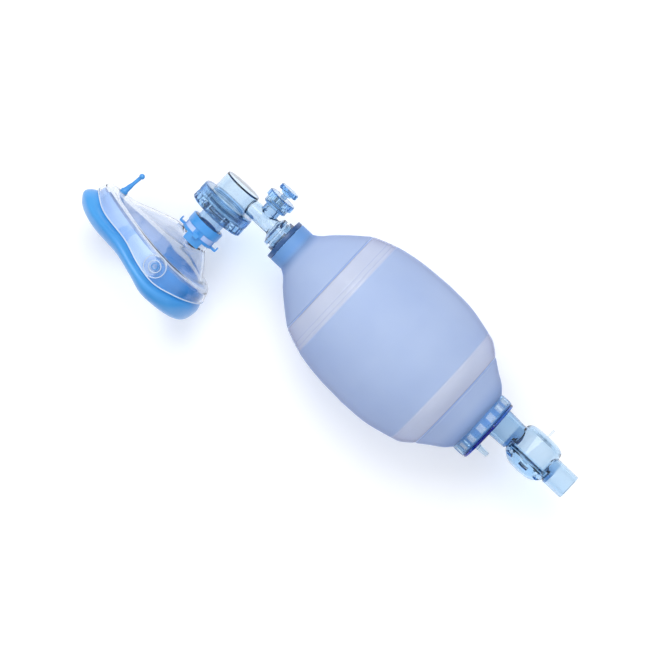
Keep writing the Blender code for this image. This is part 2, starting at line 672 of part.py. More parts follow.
def patient_port(parent, material):
    """Exhaust plate, valve cup and the conical tube that the mask fits on."""
    plate_end = PORT_START + PORT_PLATE_THICKNESS
    cup_end = PORT_START + PORT_CUP_DEPTH
    lip_end = NUT_END + PORT_LIP_LENGTH
    tube_end = lip_end + PORT_TUBE_LENGTH
    outline = [
        (PORT_CUP_BORE, PORT_START),
        (PORT_PLATE_RADIUS, PORT_START),
        (PORT_PLATE_RADIUS, plate_end),
        (PORT_CUP_RADIUS, plate_end),
        (PORT_CUP_RADIUS, cup_end),
        (PORT_LIP_RADIUS, NUT_END),
        (PORT_LIP_RADIUS, lip_end),
        (PORT_TUBE_RADIUS, lip_end),
        (PORT_TUBE_RADIUS, tube_end - EDGE),
        (PORT_TUBE_RADIUS - EDGE, tube_end),
        (PORT_TUBE_BORE, tube_end),
        (PORT_TUBE_BORE, cup_end + EDGE),
        (PORT_CUP_BORE, cup_end - 2 * EDGE),
    ]
    port = turned("patient_port", outline, parent, material)
    holes = ring_of_rods(
        "exhaust_holes",
        EXHAUST_HOLES,
        EXHAUST_RING_RADIUS,
        EXHAUST_HOLE_RADIUS,
        PORT_START - EDGE,
        plate_end + EDGE,
        parent,
    )
    cut(port, holes)
    return port


def exhaust_flap(parent, material):
    start = PORT_START + PORT_PLATE_THICKNESS + FIT_GAP
    bore = PORT_CUP_RADIUS + FIT_GAP
    end = start + FLAP_THICKNESS
    outline = [(bore, start), (FLAP_RADIUS, start), (FLAP_RADIUS, end), (bore, end)]
    return turned("exhaust_flap", outline, parent, material, INNER_SIDES)


# ---------------------------------------------------------------- pressure release valve


def release_cap(parent, material):
    bottom = RELEASE_SEAT_HEIGHT - RELEASE_CAP_OVERLAP
    collar_bore = RELEASE_BOSS_RADIUS + FIT_GAP
    cavity = RELEASE_CAP_RADIUS - RELEASE_CAP_WALL
    stem_bore = RELEASE_STEM_RADIUS + FIT_GAP
    ceiling = RELEASE_CAP_HEIGHT - RELEASE_CAP_WALL
    outline = [
        (collar_bore, bottom),
        (RELEASE_CAP_RADIUS - EDGE, bottom),
        (RELEASE_CAP_RADIUS, bottom + EDGE),
        (RELEASE_CAP_RADIUS, RELEASE_LIP_HEIGHT),
        (RELEASE_LIP_RADIUS, RELEASE_LIP_HEIGHT),
        (RELEASE_LIP_RADIUS, RELEASE_CAP_HEIGHT - EDGE),
        (RELEASE_LIP_RADIUS - EDGE, RELEASE_CAP_HEIGHT),
        (stem_bore, RELEASE_CAP_HEIGHT),
        (stem_bore, ceiling),
        (cavity, ceiling),
        (cavity, RELEASE_SEAT_HEIGHT + EDGE),
        (collar_bore, RELEASE_SEAT_HEIGHT + EDGE),
    ]
    ribs = (RELEASE_CAP_RIBS, RELEASE_RIB_DEPTH, RELEASE_LIP_HEIGHT - EDGE, RELEASE_CAP_HEIGHT - EDGE / 2)
    cap = turned("release_cap", outline, parent, material, ribs=ribs)
    low = RELEASE_SEAT_HEIGHT + 2 * EDGE + RELEASE_VENT_RADIUS
    vents = vent_spokes("release_vents", low, RELEASE_CAP_RADIUS, parent)
    cut(cap, vents)
    return cap


def vent_spokes(name, height, reach, parent):
    """A hidden star of rods that lie square to local Z, each from inside the cap out past its wall."""
    mesh = bmesh.new()
    for i in range(RELEASE_VENTS):
        lie = Matrix.Rotation(math.pi / 2, 4, "Y")
        out = Matrix.Translation((reach, 0, height))
        turn = Matrix.Rotation(2 * math.pi * (i + 0.5) / RELEASE_VENTS, 4, "Z")
        bmesh.ops.create_cone(
            mesh,
            cap_ends=True,
            segments=8,
            radius1=RELEASE_VENT_RADIUS,
            radius2=RELEASE_VENT_RADIUS,
            depth=4 * RELEASE_CAP_WALL,
            matrix=turn @ out @ lie,
        )
    return solid(name, mesh, parent)


def release_seal(parent, material):
    low = RELEASE_SEAT_HEIGHT + FIT_GAP
    high = low + RELEASE_SEAL_THICKNESS
    outline = [(0, low), (RELEASE_SEAL_RADIUS, low), (RELEASE_SEAL_RADIUS, high), (0, high)]
    return turned("release_seal", outline, parent, material, SMALL_SIDES)


def release_plunger(parent, material):
    top = KNOB_TOP - KNOB_TOP_WALL - FIT_GAP
    outline = [
        (0, DISC_BOTTOM),
        (RELEASE_DISC_RADIUS, DISC_BOTTOM),
        (RELEASE_DISC_RADIUS, DISC_TOP),
        (RELEASE_STEM_RADIUS, DISC_TOP),
        (RELEASE_STEM_RADIUS, top),
        (0, top),
    ]
    return turned("release_plunger", outline, parent, material, SMALL_SIDES)


def release_knob(parent, material):
    bore = RELEASE_STEM_RADIUS + FIT_GAP
    disc = KNOB_BOTTOM + KNOB_NECK_HEIGHT
    ceiling = KNOB_TOP - KNOB_TOP_WALL
    outline = [
        (bore, KNOB_BOTTOM),
        (KNOB_NECK_RADIUS, KNOB_BOTTOM),
        (KNOB_NECK_RADIUS, disc),
        (KNOB_RADIUS - EDGE, disc),
        (KNOB_RADIUS, disc + EDGE),
        (KNOB_RADIUS, KNOB_TOP - EDGE),
        (KNOB_RADIUS - EDGE, KNOB_TOP),
        (0, KNOB_TOP),
        (0, ceiling),
        (bore, ceiling),
    ]
    ribs = (KNOB_LOBES, KNOB_LOBE_DEPTH, disc + EDGE / 2, KNOB_TOP - EDGE / 2)
    return turned("release_knob", outline, parent, material, ribs=ribs)


def release_spring(parent, material):
    """Compression spring between the plunger's disc and the cap's ceiling."""
    bottom = DISC_TOP + FIT_GAP + SPRING_WIRE_RADIUS
    top = RELEASE_CAP_HEIGHT - RELEASE_CAP_WALL - FIT_GAP - SPRING_WIRE_RADIUS
    curve = bpy.data.curves.new("release_spring", "CURVE")
    curve.dimensions = "3D"
    curve.bevel_depth = SPRING_WIRE_RADIUS
    curve.bevel_resolution = 1
    curve.use_fill_caps = True
    count = int(SPRING_TURNS * SPRING_POINTS_PER_TURN)
    wire = curve.splines.new("POLY")
    wire.points.add(count)
    for i, point in enumerate(wire.points):
        turn = 2 * math.pi * i / SPRING_POINTS_PER_TURN
        height = bottom + (top - bottom) * i / count
        point.co = (SPRING_COIL_RADIUS * math.cos(turn), SPRING_COIL_RADIUS * math.sin(turn), height, 1)
    curve.materials.append(material)
    spring = bpy.data.objects.new("release_spring", curve)
    bpy.context.scene.collection.objects.link(spring)
    spring.parent = parent
    return spring


# ---------------------------------------------------------------- mask


def pear(nose, chin, half_width, taper, heights):
    """A pear-shaped ring of points, with the nose at -X and the chin at +X.

    heights gives a distance along local Z for a share of the way from nose to chin.
    """
    angles = [math.pi * i / 180 for i in range(180)]
    widest = max(math.sin(a) * (1 + taper * math.cos(a)) for a in angles)
    ring = []
    for i in range(MASK_SIDES):
        a = 2 * math.pi * i / MASK_SIDES
        x = (chin - nose) / 2 + (chin + nose) / 2 * math.cos(a)
        y = half_width * math.sin(a) * (1 + taper * math.cos(a)) / widest
        ring.append(Vector((x, y, heights((1 + math.cos(a)) / 2))))
    return ring


def level(height):
    return lambda share: height


def three_points(nose, side, chin):
    """Heights that pass smoothly from the nose over the sides to the chin, given in millimetres."""
    knots = [(0, nose * MM), (0.5, side * MM), (1, chin * MM)]
    return lambda share: smooth_through(knots, share)


def scaled_knots(knots):
    return [(place, height * MM) for place, height in knots]


def seam_height(share):
    return smooth_through(scaled_knots(MASK_SEAM), share)


def face_height(share):
    return smooth_through(scaled_knots(MASK_FACE), share)


def shoulder_height(share):
    return three_points(*MASK_SHOULDER)(share)


def inset_pear(inset, heights):
    return pear(MASK_NOSE - inset, MASK_CHIN - inset, MASK_HALF_WIDTH - inset, MASK_TAPER, heights)


def dome_rings(wall):
    """The dome's surface from its neck to its skirt. wall is 0 outside, and the wall's thickness inside."""
    neck = MASK_NECK_RADIUS if wall == 0 else MASK_NECK_BORE

    def below(heights):
        return lambda share: heights(share) + wall

    def skirt_start(share):
        return shoulder_height(share) + MASK_SKIRT_DROP + wall / 2

    rings = [
        pear(neck, neck, neck, 0, level(MASK_NECK_TOP)),
        pear(neck, neck, neck, 0, three_points(*MASK_NECK_FOOT)),
    ]
    for nose, chin, half_width, taper, heights in MASK_CONE:
        sizes = [size * MM - wall for size in (nose, chin, half_width)]
        rings.append(pear(*sizes, taper, below(three_points(*heights))))
    rings.append(inset_pear(MASK_SHOULDER_INSET + wall, below(shoulder_height)))
    rings.append(inset_pear(MASK_SKIRT_INSET + wall, skirt_start))
    return rings


def mask_dome(parent, material):
    """Clear shell: a neck for the patient port, a cone, a shoulder and a skirt round the cushion."""
    skirt = [inset_pear(0, seam_height), inset_pear(MASK_WALL, seam_height)]
    dome = skinned("mask_dome", dome_rings(0) + skirt + dome_rings(MASK_WALL)[::-1], parent, material)
    reach = MASK_NECK_TOP
    cut(dome, rod("fill_hole", FILL_STEM_RADIUS + 2 * FIT_GAP, -reach, reach, dome_fill_axis(parent)))
    return dome


def dome_fill_axis(parent):
    """The cushion's filling stem stands here on the nose side of the shoulder, and leans towards the neck."""
    return axis("fill_axis", parent, (-FILL_STEM_PLACE, 0, FILL_STEM_ROOT), (0, math.pi - FILL_STEM_LEAN, 0))


def mask_cushion(parent, material):
    """Soft inflated ring: its upper part sits inside the skirt, and its lower part bulges out."""

    def bulge(share):
        return CUSHION_NOSE_BULGE + (CUSHION_CHIN_BULGE - CUSHION_NOSE_BULGE) * share

    def between(share_down):
        return lambda share: seam_height(share) + share_down * (face_height(share) - seam_height(share))

    def under_shoulder(extra):
        return lambda share: shoulder_height(share) + MASK_WALL + CUSHION_CLEARANCE + extra

    def bulged(outwards, inset, heights):
        """A pear whose edge is pushed outwards by a share of the bulge, more at the nose than at the chin."""
        side = outwards * bulge(0.6)
        nose = MASK_NOSE + outwards * bulge(0) - inset
        chin = MASK_CHIN + outwards * bulge(1) - inset
        return pear(nose, chin, MASK_HALF_WIDTH + side - inset, MASK_TAPER, heights)

    inside_skirt = MASK_WALL + CUSHION_CLEARANCE
    inner = CUSHION_WIDTH
    rings = [
        inset_pear(inside_skirt + CUSHION_TOP_INSET, under_shoulder(CUSHION_TOP_DROP)),
        inset_pear(inside_skirt + FIT_GAP, lambda share: seam_height(share) + CUSHION_CLEARANCE),
    ]
    rings += [bulged(outwards, inset * MM, between(down)) for outwards, inset, down in CUSHION_SECTION]
    rings += [
        bulged(0, inner - 2 * EDGE, between(0.45)),
        bulged(0, inner, between(-0.15)),
        inset_pear(inner - CUSHION_LIP_STEP, under_shoulder(CUSHION_TOP_DROP)),
        inset_pear(inside_skirt + CUSHION_TOP_WIDTH, under_shoulder(0)),
        inset_pear(inside_skirt + CUSHION_CROWN_INSET, under_shoulder(0)),
    ]
    return skinned("mask_cushion", rings, parent, material)


def fill_stem(parent, material):
    """Tapered tube that the cushion is filled through."""
    outline = [
        (FILL_STEM_BORE, -EDGE),
        (FILL_STEM_RADIUS, -EDGE),
        (FILL_STEM_RADIUS, FILL_STEM_FOOT_LENGTH),
        (FILL_STEM_TIP_RADIUS, FILL_STEM_TAPER_END * FILL_STEM_LENGTH),
        (FILL_STEM_TIP_RADIUS, FILL_STEM_LENGTH),
        (FILL_STEM_BORE, FILL_STEM_LENGTH),
    ]
    return turned("fill_stem", outline, parent, material, SMALL_SIDES)


def fill_plug(parent, material):
    """Ball-headed plug with a peg in the stem's bore."""
    top = FILL_STEM_LENGTH
    start = math.asin(FILL_STEM_TIP_RADIUS / PLUG_RADIUS)
    centre = top + FIT_GAP + PLUG_RADIUS * math.cos(start)
    peg = FILL_STEM_BORE - FIT_GAP
    steps = 6
    turns = [start + (math.pi - start) * i / steps for i in range(steps)]
    ball = [(PLUG_RADIUS * math.sin(a), centre - PLUG_RADIUS * math.cos(a)) for a in turns]
    outline = [(0, top - PLUG_PEG_LENGTH), (peg, top - PLUG_PEG_LENGTH), (peg, top + FIT_GAP)]
    outline += ball + [(0, centre + PLUG_RADIUS)]
    return turned("fill_plug", outline, parent, material, SMALL_SIDES)


def hook_ring(parent, material):
    """Ring on the mask's neck with windows, two aprons at its sides and four hooks for the head strap."""
    bore = HOOK_RING_BORE
    start = MASK_NECK_TOP + FIT_GAP
    band_end = start + HOOK_RING_BAND
    end = start + HOOK_RING_LENGTH
    foot = end - HOOK_RING_FOOT
    outline = [
        (bore, start),
        (HOOK_RING_RADIUS - EDGE / 2, start),
        (HOOK_RING_RADIUS, start + EDGE / 2),
        (HOOK_RING_RADIUS, band_end),
        (HOOK_RING_WAIST, band_end),
        (HOOK_RING_WAIST, foot),
        (HOOK_RING_RADIUS, foot),
        (HOOK_RING_RADIUS, end),
        (bore, end),
    ]
    ring = turned("hook_ring", outline, parent, material)
    inner, low, high = bore + FIT_GAP, foot + EDGE, end + APRON_LENGTH
    apron = [(inner, low), (APRON_RADIUS, low), (APRON_RADIUS, high), (inner, high)]
    aprons = turned("aprons", apron, parent)
    span = block("apron_span", (APRON_WIDTH, 3 * APRON_RADIUS, 4 * APRON_LENGTH), parent, (0, 0, end))
    combine(aprons, "INTERSECT", span)
    add(ring, aprons)
    for i in range(4):
        add(ring, strap_hook(i, end, parent))
    middle = (band_end + foot) / 2
    window = (0.9 * HOOK_RING_RADIUS, 3 * HOOK_RING_RADIUS, foot - band_end - 2 * EDGE)
    for i in range(2):
        turn = math.pi / 4 + i * math.pi / 2
        cut(ring, block(f"ring_window_{i}", window, parent, (0, 0, middle), (0, 0, turn)))
    return ring


def strap_hook(i, end, parent):
    """One L-shaped hook: an arm out from the ring's foot and a tip that rises."""
    turn = Matrix.Rotation(i * math.pi / 2, 4, "Z")
    root = (MASK_NECK_RADIUS + HOOK_RING_RADIUS) / 2
    side = [
        (root, end - EDGE),
        (HOOK_REACH, end - EDGE),
        (HOOK_REACH, end - HOOK_THICKNESS - HOOK_TIP_RISE),
        (HOOK_REACH - HOOK_THICKNESS / 2, end - HOOK_THICKNESS - HOOK_TIP_RISE),
        (HOOK_REACH - HOOK_THICKNESS / 2, end - HOOK_THICKNESS),
        (root, end - HOOK_THICKNESS),
    ]
    rings = [[turn @ Vector((r, y, z)) for r, z in side] for y in (-HOOK_WIDTH / 2, HOOK_WIDTH / 2)]
    return skinned(f"strap_hook_{i}", rings, parent, capped=True)


# ---------------------------------------------------------------- tail


def clamp_ring(parent, material):
    bore = BAG_MOUTH_RADIUS + FIT_GAP
    low = FIT_GAP + CLAMP_WINDOW_MARGIN
    high = CLAMP_RING_END - CLAMP_WINDOW_MARGIN
    outline = [
        (bore, FIT_GAP),
        (CLAMP_RING_RADIUS, FIT_GAP),
        (CLAMP_RING_RADIUS, low),
        (CLAMP_RING_RADIUS, low + EDGE),
        (CLAMP_RING_RADIUS, high - EDGE),
        (CLAMP_RING_RADIUS, high),
        (CLAMP_RING_RADIUS, CLAMP_RING_END),
        (bore, CLAMP_RING_END),
    ]
    windows = (CLAMP_RING_WINDOWS, CLAMP_WINDOW_DEPTH, low + EDGE / 2, high - EDGE / 2)
    return turned("clamp_ring", outline, parent, material, ribs=windows)


def mouth_gasket(parent, material):
    low = BAG_MOUTH_LENGTH + FIT_GAP
    high = CLAMP_RING_END
    bore = BAG_MOUTH_RADIUS - BAG_WALL
    outline = [(bore, low), (BAG_MOUTH_RADIUS, low), (BAG_MOUTH_RADIUS, high), (bore, high)]
    return turned("mouth_gasket", outline, parent, material, INNER_SIDES)


def tail_plate(parent, reservoir, nipple, material):
    """Rear plate with a spigot inside the bag's mouth, and holes for the reservoir valve and the nipple."""
    spigot_bore = PLATE_SPIGOT_RADIUS - PLATE_SPIGOT_WALL
    front = PLATE_START - PLATE_SPIGOT_DEPTH
    outline = [
        (0, PLATE_START),
        (spigot_bore, PLATE_START),
        (spigot_bore, front),
        (PLATE_SPIGOT_RADIUS, front),
        (PLATE_SPIGOT_RADIUS, PLATE_START),
        (PLATE_RADIUS, PLATE_START),
        (PLATE_RADIUS, PLATE_END - 2 * EDGE),
        (PLATE_RADIUS - 2 * EDGE, PLATE_END),
        (0, PLATE_END),
    ]
    plate = turned("tail_plate", outline, parent, material)
    low, high = PLATE_START - EDGE, PLATE_END + EDGE
    tube_hole = rod("tube_hole", RESERVOIR_SPIGOT_RADIUS + FIT_GAP, low, high, reservoir, sides=SIDES)
    nipple_hole = rod("nipple_hole", NIPPLE_ROOT_RADIUS + FIT_GAP, low, high, nipple)
    cut(plate, tube_hole, nipple_hole)
    return plate


def intake_seat(parent, material):
    """Perforated seat with a headed stud that the intake disc slides on."""
    radius = PLATE_SPIGOT_RADIUS - PLATE_SPIGOT_WALL - FIT_GAP
    disc_travel = INTAKE_DISC_THICKNESS + INTAKE_TRAVEL + 5 * FIT_GAP
    head = SEAT_START - disc_travel
    outline = [
        (0, head - STUD_HEAD_THICKNESS),
        (STUD_HEAD_RADIUS, head - STUD_HEAD_THICKNESS / 2),
        (STUD_HEAD_RADIUS, head),
        (STUD_RADIUS, head),
        (STUD_RADIUS, SEAT_START),
        (radius, SEAT_START),
        (radius, SEAT_START + SEAT_THICKNESS),
        (0, SEAT_START + SEAT_THICKNESS),
    ]
    seat = turned("intake_seat", outline, parent, material, INNER_SIDES)
    low, high = SEAT_START - EDGE, SEAT_START + SEAT_THICKNESS + EDGE
    holes = ring_of_rods("seat_holes", SEAT_HOLES, SEAT_HOLE_RING, SEAT_HOLE_RADIUS, low, high, parent)
    cut(seat, holes)
    return seat


def intake_disc(parent, material):
    high = SEAT_START - FIT_GAP
    low = high - INTAKE_DISC_THICKNESS
    bore = STUD_RADIUS + FIT_GAP
    outline = [(bore, low), (INTAKE_DISC_RADIUS, low), (INTAKE_DISC_RADIUS, high), (bore, high)]
    return turned("intake_disc", outline, parent, material, INNER_SIDES)


def oxygen_nipple(parent, material):
    flange_end = PLATE_START - FIT_GAP
    shoulder = PLATE_END + FIT_GAP
    tip = shoulder + NIPPLE_LENGTH
    outline = [
        (NIPPLE_BORE, flange_end - NIPPLE_FLANGE_THICKNESS),
        (NIPPLE_FLANGE_RADIUS, flange_end - NIPPLE_FLANGE_THICKNESS),
        (NIPPLE_FLANGE_RADIUS, flange_end),
        (NIPPLE_ROOT_RADIUS, flange_end),
        (NIPPLE_ROOT_RADIUS, shoulder),
        (NIPPLE_RADIUS, shoulder),
        (NIPPLE_TIP_RADIUS, tip),
        (NIPPLE_BORE, tip),
    ]
    return turned("oxygen_nipple", outline, parent, material, SMALL_SIDES)


# ---------------------------------------------------------------- reservoir valve


def reservoir_chamber(tube, drum, material):
    """Inlet tube, drum and end connector in one clear moulding, open below for the vent."""
    tube_end = TUBE_START + RESERVOIR_TUBE_LENGTH
    connector_end = DRUM_CENTRE + VENT_CAP_RADIUS + CONNECTOR_LENGTH - VENT_CAP_WALL
    cap_clearance = VENT_CAP_RADIUS + FIT_GAP
    tube_outline = [
        (0, PLATE_START + FIT_GAP),
        (RESERVOIR_SPIGOT_RADIUS, PLATE_START + FIT_GAP),
        (RESERVOIR_SPIGOT_RADIUS, TUBE_START),
        (RESERVOIR_TUBE_RADIUS, TUBE_START),
        (RESERVOIR_TUBE_RADIUS - RESERVOIR_TUBE_TAPER, tube_end),
        (RESERVOIR_TUBE_RADIUS - RESERVOIR_TUBE_TAPER, DRUM_CENTRE - DRUM_WALL),
        (0, DRUM_CENTRE - DRUM_WALL),
    ]
    stem_bore = AIR_STEM_RADIUS + FIT_GAP
    crown = [(share * DRUM_RADIUS, DRUM_HEIGHT - drop * MM) for share, drop in DRUM_CROWN]
    drum_outline = [
        (stem_bore, DRUM_HEIGHT),
        *crown,
        (DRUM_RADIUS, -DRUM_SKIRT),
        (stem_bore, -DRUM_SKIRT),
    ]
    inside = [(0, DRUM_HEIGHT - DRUM_WALL)]
    inside += [(radius - DRUM_WALL, height - DRUM_WALL) for radius, height in crown[:-1]]
    inside += [(DRUM_RADIUS - DRUM_WALL, crown[-1][1])]
    inside += [(DRUM_RADIUS - DRUM_WALL, -DRUM_SKIRT - EDGE), (0, -DRUM_SKIRT - EDGE)]
    chamber = turned("reservoir_chamber", tube_outline, tube, material)
    connector = rod(
        "connector_body", CONNECTOR_RADIUS, DRUM_CENTRE + DRUM_WALL, connector_end, tube, sides=SIDES
    )
    drum_top = turned("drum_body", drum_outline, drum)
    low, high = DRUM_HEIGHT / 2, 2 * DRUM_HEIGHT
    cut(drum_top, ring_of_rods("air_holes", AIR_HOLES, AIR_HOLE_RING, AIR_HOLE_RADIUS, low, high, drum))
    cap_start = FIT_GAP - VENT_CAP_START
    clearance = rod("cap_clearance", cap_clearance, -2 * VENT_CAP_DEPTH, cap_start, drum, sides=SIDES)
    add(chamber, connector)
    cut(chamber, clearance)
    add(chamber, drum_top)
    bore_end = DRUM_CENTRE - cap_clearance - DRUM_WEB
    bore_start = DRUM_CENTRE + cap_clearance + DRUM_WEB
    front_bore = rod("tube_bore", RESERVOIR_TUBE_BORE, PLATE_START, bore_end, tube, sides=SIDES)
    rear_bore = rod("connector_bore", CONNECTOR_BORE, bore_start, connector_end + EDGE, tube, sides=SIDES)
    low, high = bore_end - DRUM_WEB, bore_start + DRUM_WEB
    passage = rod("passage", PASSAGE_RADIUS, low, high, tube, location=(0, PASSAGE_RISE, 0))
    cut(chamber, passage, front_bore, rear_bore, turned("drum_bore", inside, drum))
    return chamber


def air_disc(parent, material):
    """Air inlet valve: a disc under the drum's ceiling with a stem out through the top."""
    high = DRUM_HEIGHT - DRUM_WALL - DRUM_CROWN[0][1] * MM - FIT_GAP
    low = high - AIR_DISC_THICKNESS
    outline = [
        (0, low),
        (AIR_DISC_RADIUS, low),
        (AIR_DISC_RADIUS, high),
        (AIR_STEM_RADIUS, high),
        (AIR_STEM_RADIUS, AIR_STEM_REACH - EDGE),
        (AIR_STEM_RADIUS - EDGE, AIR_STEM_REACH),
        (0, AIR_STEM_REACH),
    ]
    return turned("air_disc", outline, parent, material, SMALL_SIDES)


def vent_seat(parent, material):
    """Perforated seat in the drum's skirt with a headed stud below it."""
    radius = DRUM_RADIUS - DRUM_WALL - FIT_GAP
    head = VENT_SEAT_BOTTOM - RELIEF_DISC_THICKNESS - RELIEF_TRAVEL - 4 * FIT_GAP
    outline = [
        (0, VENT_SEAT_TOP),
        (radius, VENT_SEAT_TOP),
        (radius, VENT_SEAT_BOTTOM),
        (VENT_STUD_RADIUS, VENT_SEAT_BOTTOM),
        (VENT_STUD_RADIUS, head),
        (2 * VENT_STUD_RADIUS, head),
        (2 * VENT_STUD_RADIUS, head - STUD_HEAD_THICKNESS / 2),
        (0, head - STUD_HEAD_THICKNESS),
    ]
    seat = turned("vent_seat", outline, parent, material, INNER_SIDES)
    low, high = VENT_SEAT_BOTTOM - EDGE, VENT_SEAT_TOP + EDGE
    holes = ring_of_rods(
        "vent_seat_holes", VENT_SEAT_HOLES, VENT_SEAT_HOLE_RING, VENT_SEAT_HOLE_RADIUS, low, high, parent
    )
    cut(seat, holes)
    return seat


def relief_disc(parent, material):
    high = VENT_SEAT_BOTTOM - FIT_GAP
    low = high - RELIEF_DISC_THICKNESS
    bore = VENT_STUD_RADIUS + FIT_GAP
    outline = [(bore, high), (RELIEF_DISC_RADIUS, high), (RELIEF_DISC_RADIUS, low), (bore, low)]
    return turned("relief_disc", outline, parent, material, INNER_SIDES)


def vent_cap(parent, material):
    """Shallow bowl that covers the relief disc, with slots for the air."""
    depth = VENT_CAP_DEPTH - VENT_CAP_START
    outer = [(share * VENT_CAP_RADIUS, -VENT_CAP_START - down * depth) for share, down in VENT_CAP_BOWL]
    inner = [(max(radius - VENT_CAP_WALL, 0), height + VENT_CAP_WALL) for radius, height in outer[1:]]
    collar_bore = DRUM_RADIUS + FIT_GAP
    ledge = -DRUM_SKIRT - FIT_GAP
    outline = [(collar_bore, -VENT_CAP_START), (VENT_CAP_RADIUS, -VENT_CAP_START)] + outer + inner[::-1]
    outline += [(DRUM_RADIUS - DRUM_WALL, ledge), (collar_bore, ledge)]
    cap = turned("vent_cap", outline, parent, material)
    cut(cap, vent_slots(parent))
    return cap


def vent_slots(parent):
    """A hidden ring of boxes, each set square to the bowl's slanted side."""
    mesh = bmesh.new()
    depth = VENT_CAP_DEPTH - VENT_CAP_START
    out, down = VENT_SLOT_PLACE
    place = Matrix.Translation((out * VENT_CAP_RADIUS, 0, -VENT_CAP_START - down * depth))
    slant = Matrix.Rotation(VENT_SLOT_SLANT, 4, "Y")
    size = Matrix.Diagonal((6 * VENT_CAP_WALL, VENT_SLOT_LENGTH, VENT_SLOT_WIDTH, 1))
    for i in range(VENT_SLOTS):
        turn = Matrix.Rotation(2 * math.pi * (i + 0.5) / VENT_SLOTS, 4, "Z")
        bmesh.ops.create_cube(mesh, size=1, matrix=turn @ place @ slant @ size)
    return solid("vent_slots", mesh, parent)


# ---------------------------------------------------------------- assembly


def lowest(thing, turn=0.0):
    """The lowest point of an object's own mesh once turned about X, with its parents' places counted."""
    bpy.context.view_layer.update()
    lean = Matrix.Rotation(turn, 4, "X")
    return min((lean @ thing.matrix_world @ point.co).z for point in thing.data.vertices)


def rest_angle(mask_pieces, floor):
    """How far the valve swivels down before the mask meets the floor that the bag lies on."""
    low, high = -STEEPEST_REST / 2, STEEPEST_REST
    for _ in range(24):
        middle = (low + high) / 2
        if min(lowest(piece, middle) for piece in mask_pieces) > floor:
            low = middle
        else:
            high = middle
    return high


def stand_on_floor(root):
    """Move the whole object so that its box is centred over the origin and its lowest point is at zero."""
    bpy.context.view_layer.update()
    graph = bpy.context.evaluated_depsgraph_get()
    corners = []
    for thing in bpy.context.scene.objects:
        if thing.type != "EMPTY" and not thing.hide_render:
            shape = thing.evaluated_get(graph).to_mesh()
            corners += [thing.matrix_world @ point.co for point in shape.vertices]
            thing.evaluated_get(graph).to_mesh_clear()
    for i in (0, 1):
        values = [corner[i] for corner in corners]
        root.location[i] = -(min(values) + max(values)) / 2
    root.location.z = -min(corner.z for corner in corners)
    bpy.context.view_layer.update()


def build_bag(root, frosted, dark, clear, tinted, silicone, rubber):
    """The bag with everything that is fixed to its two ends. Returns the bag's shell."""
    along_x = (0, math.pi / 2, 0)
    bag_axis = axis("bag_axis", root, (0, 0, 0), along_x)
    neck = axis("neck_axis", root, (NECK_X, 0, 0), along_x)
    tail = axis("tail_axis", root, (TAIL_X, 0, 0), along_x)
    reservoir = axis("reservoir_axis", tail, (0, RESERVOIR_OFFSET, 0))
    nipple = axis("nipple_axis", tail, (0, NIPPLE_OFFSET, 0))
    drum = axis("drum_axis", reservoir, (0, 0, DRUM_CENTRE), (-math.pi / 2, 0, 0))
    shell = bag_shell(bag_axis, frosted)
    neck_ring(neck, dark)
    swivel_socket(neck, clear)
    clamp_ring(tail, tinted)
    mouth_gasket(tail, rubber)
    tail_plate(tail, reservoir, nipple, tinted)
    intake_seat(tail, clear)
    intake_disc(tail, silicone)
    oxygen_nipple(nipple, clear)
    reservoir_chamber(reservoir, drum, clear)
    air_disc(drum, silicone)
    vent_seat(drum, clear)
    relief_disc(drum, silicone)
    vent_cap(drum, tinted)
    return shell


def build_valve(swivel, clear, tinted, silicone, rubber, steel):
    """The elbow valve, which turns in the bag's neck. Returns the patient axis."""
    neck = axis("spigot_axis", swivel, (NECK_X, 0, 0), (0, math.pi / 2, 0))
    patient = axis("patient_axis", swivel, (PATIENT_X, 0, 0), (math.pi / 2, 0, 0))
    release_x = NECK_X - RELEASE_DISTANCE
    release = axis("release_axis", swivel, (release_x, 0, 0), (-math.pi / 2, 0, 0))
    pressure = axis("pressure_axis", swivel, (release_x, INLET_TUBE_RISE, 0))
    valve_housing(neck, patient, release, pressure, clear)
    swivel_seal(neck, rubber)
    ring_nut(patient, tinted)
    lip_valve(patient, silicone)
    patient_port(patient, clear)
    exhaust_flap(patient, silicone)
    release_cap(release, tinted)
    release_seal(release, rubber)
    release_plunger(release, clear)
    release_knob(release, tinted)
    release_spring(release, steel)
    return patient


def build_mask(patient, clear, blue):
    """The face mask on the patient port. Returns the pieces that can touch the floor."""
    dome = mask_dome(patient, clear)
    cushion = mask_cushion(patient, blue)
    fill = bpy.data.objects["fill_axis"]
    fill_stem(fill, blue)
    fill_plug(fill, blue)
    hook_ring(patient, blue)
    return [dome, cushion]


def main():
    clear_scene()
    clear = finish("clear_polycarbonate", (0.86, 0.94, 0.98), 0.08, alpha=0.35)
    tinted = finish("tinted_polycarbonate", (0.42, 0.66, 0.88), 0.12, alpha=0.6)
    frosted = finish("frosted_silicone", (0.62, 0.73, 0.92), 0.45, alpha=0.8)
    blue = finish("blue_vinyl", (0.1, 0.42, 0.85), 0.35)
    dark = finish("navy_plastic", (0.03, 0.08, 0.25), 0.3)
    silicone = finish("valve_silicone", (0.85, 0.87, 0.88), 0.5)
    rubber = finish("seal_rubber", (0.06, 0.06, 0.07), 0.6)
    steel = finish("spring_steel", (0.7, 0.7, 0.72), 0.25, 1.0)
    root = axis("resuscitator")
    swivel = axis("valve_swivel", root)
    shell = build_bag(root, frosted, dark, clear, tinted, silicone, rubber)
    patient = build_valve(swivel, clear, tinted, silicone, rubber, steel)
    mask_pieces = build_mask(patient, clear, blue)
    swivel.rotation_euler.x = rest_angle(mask_pieces, lowest(shell))
    stand_on_floor(root)


main()
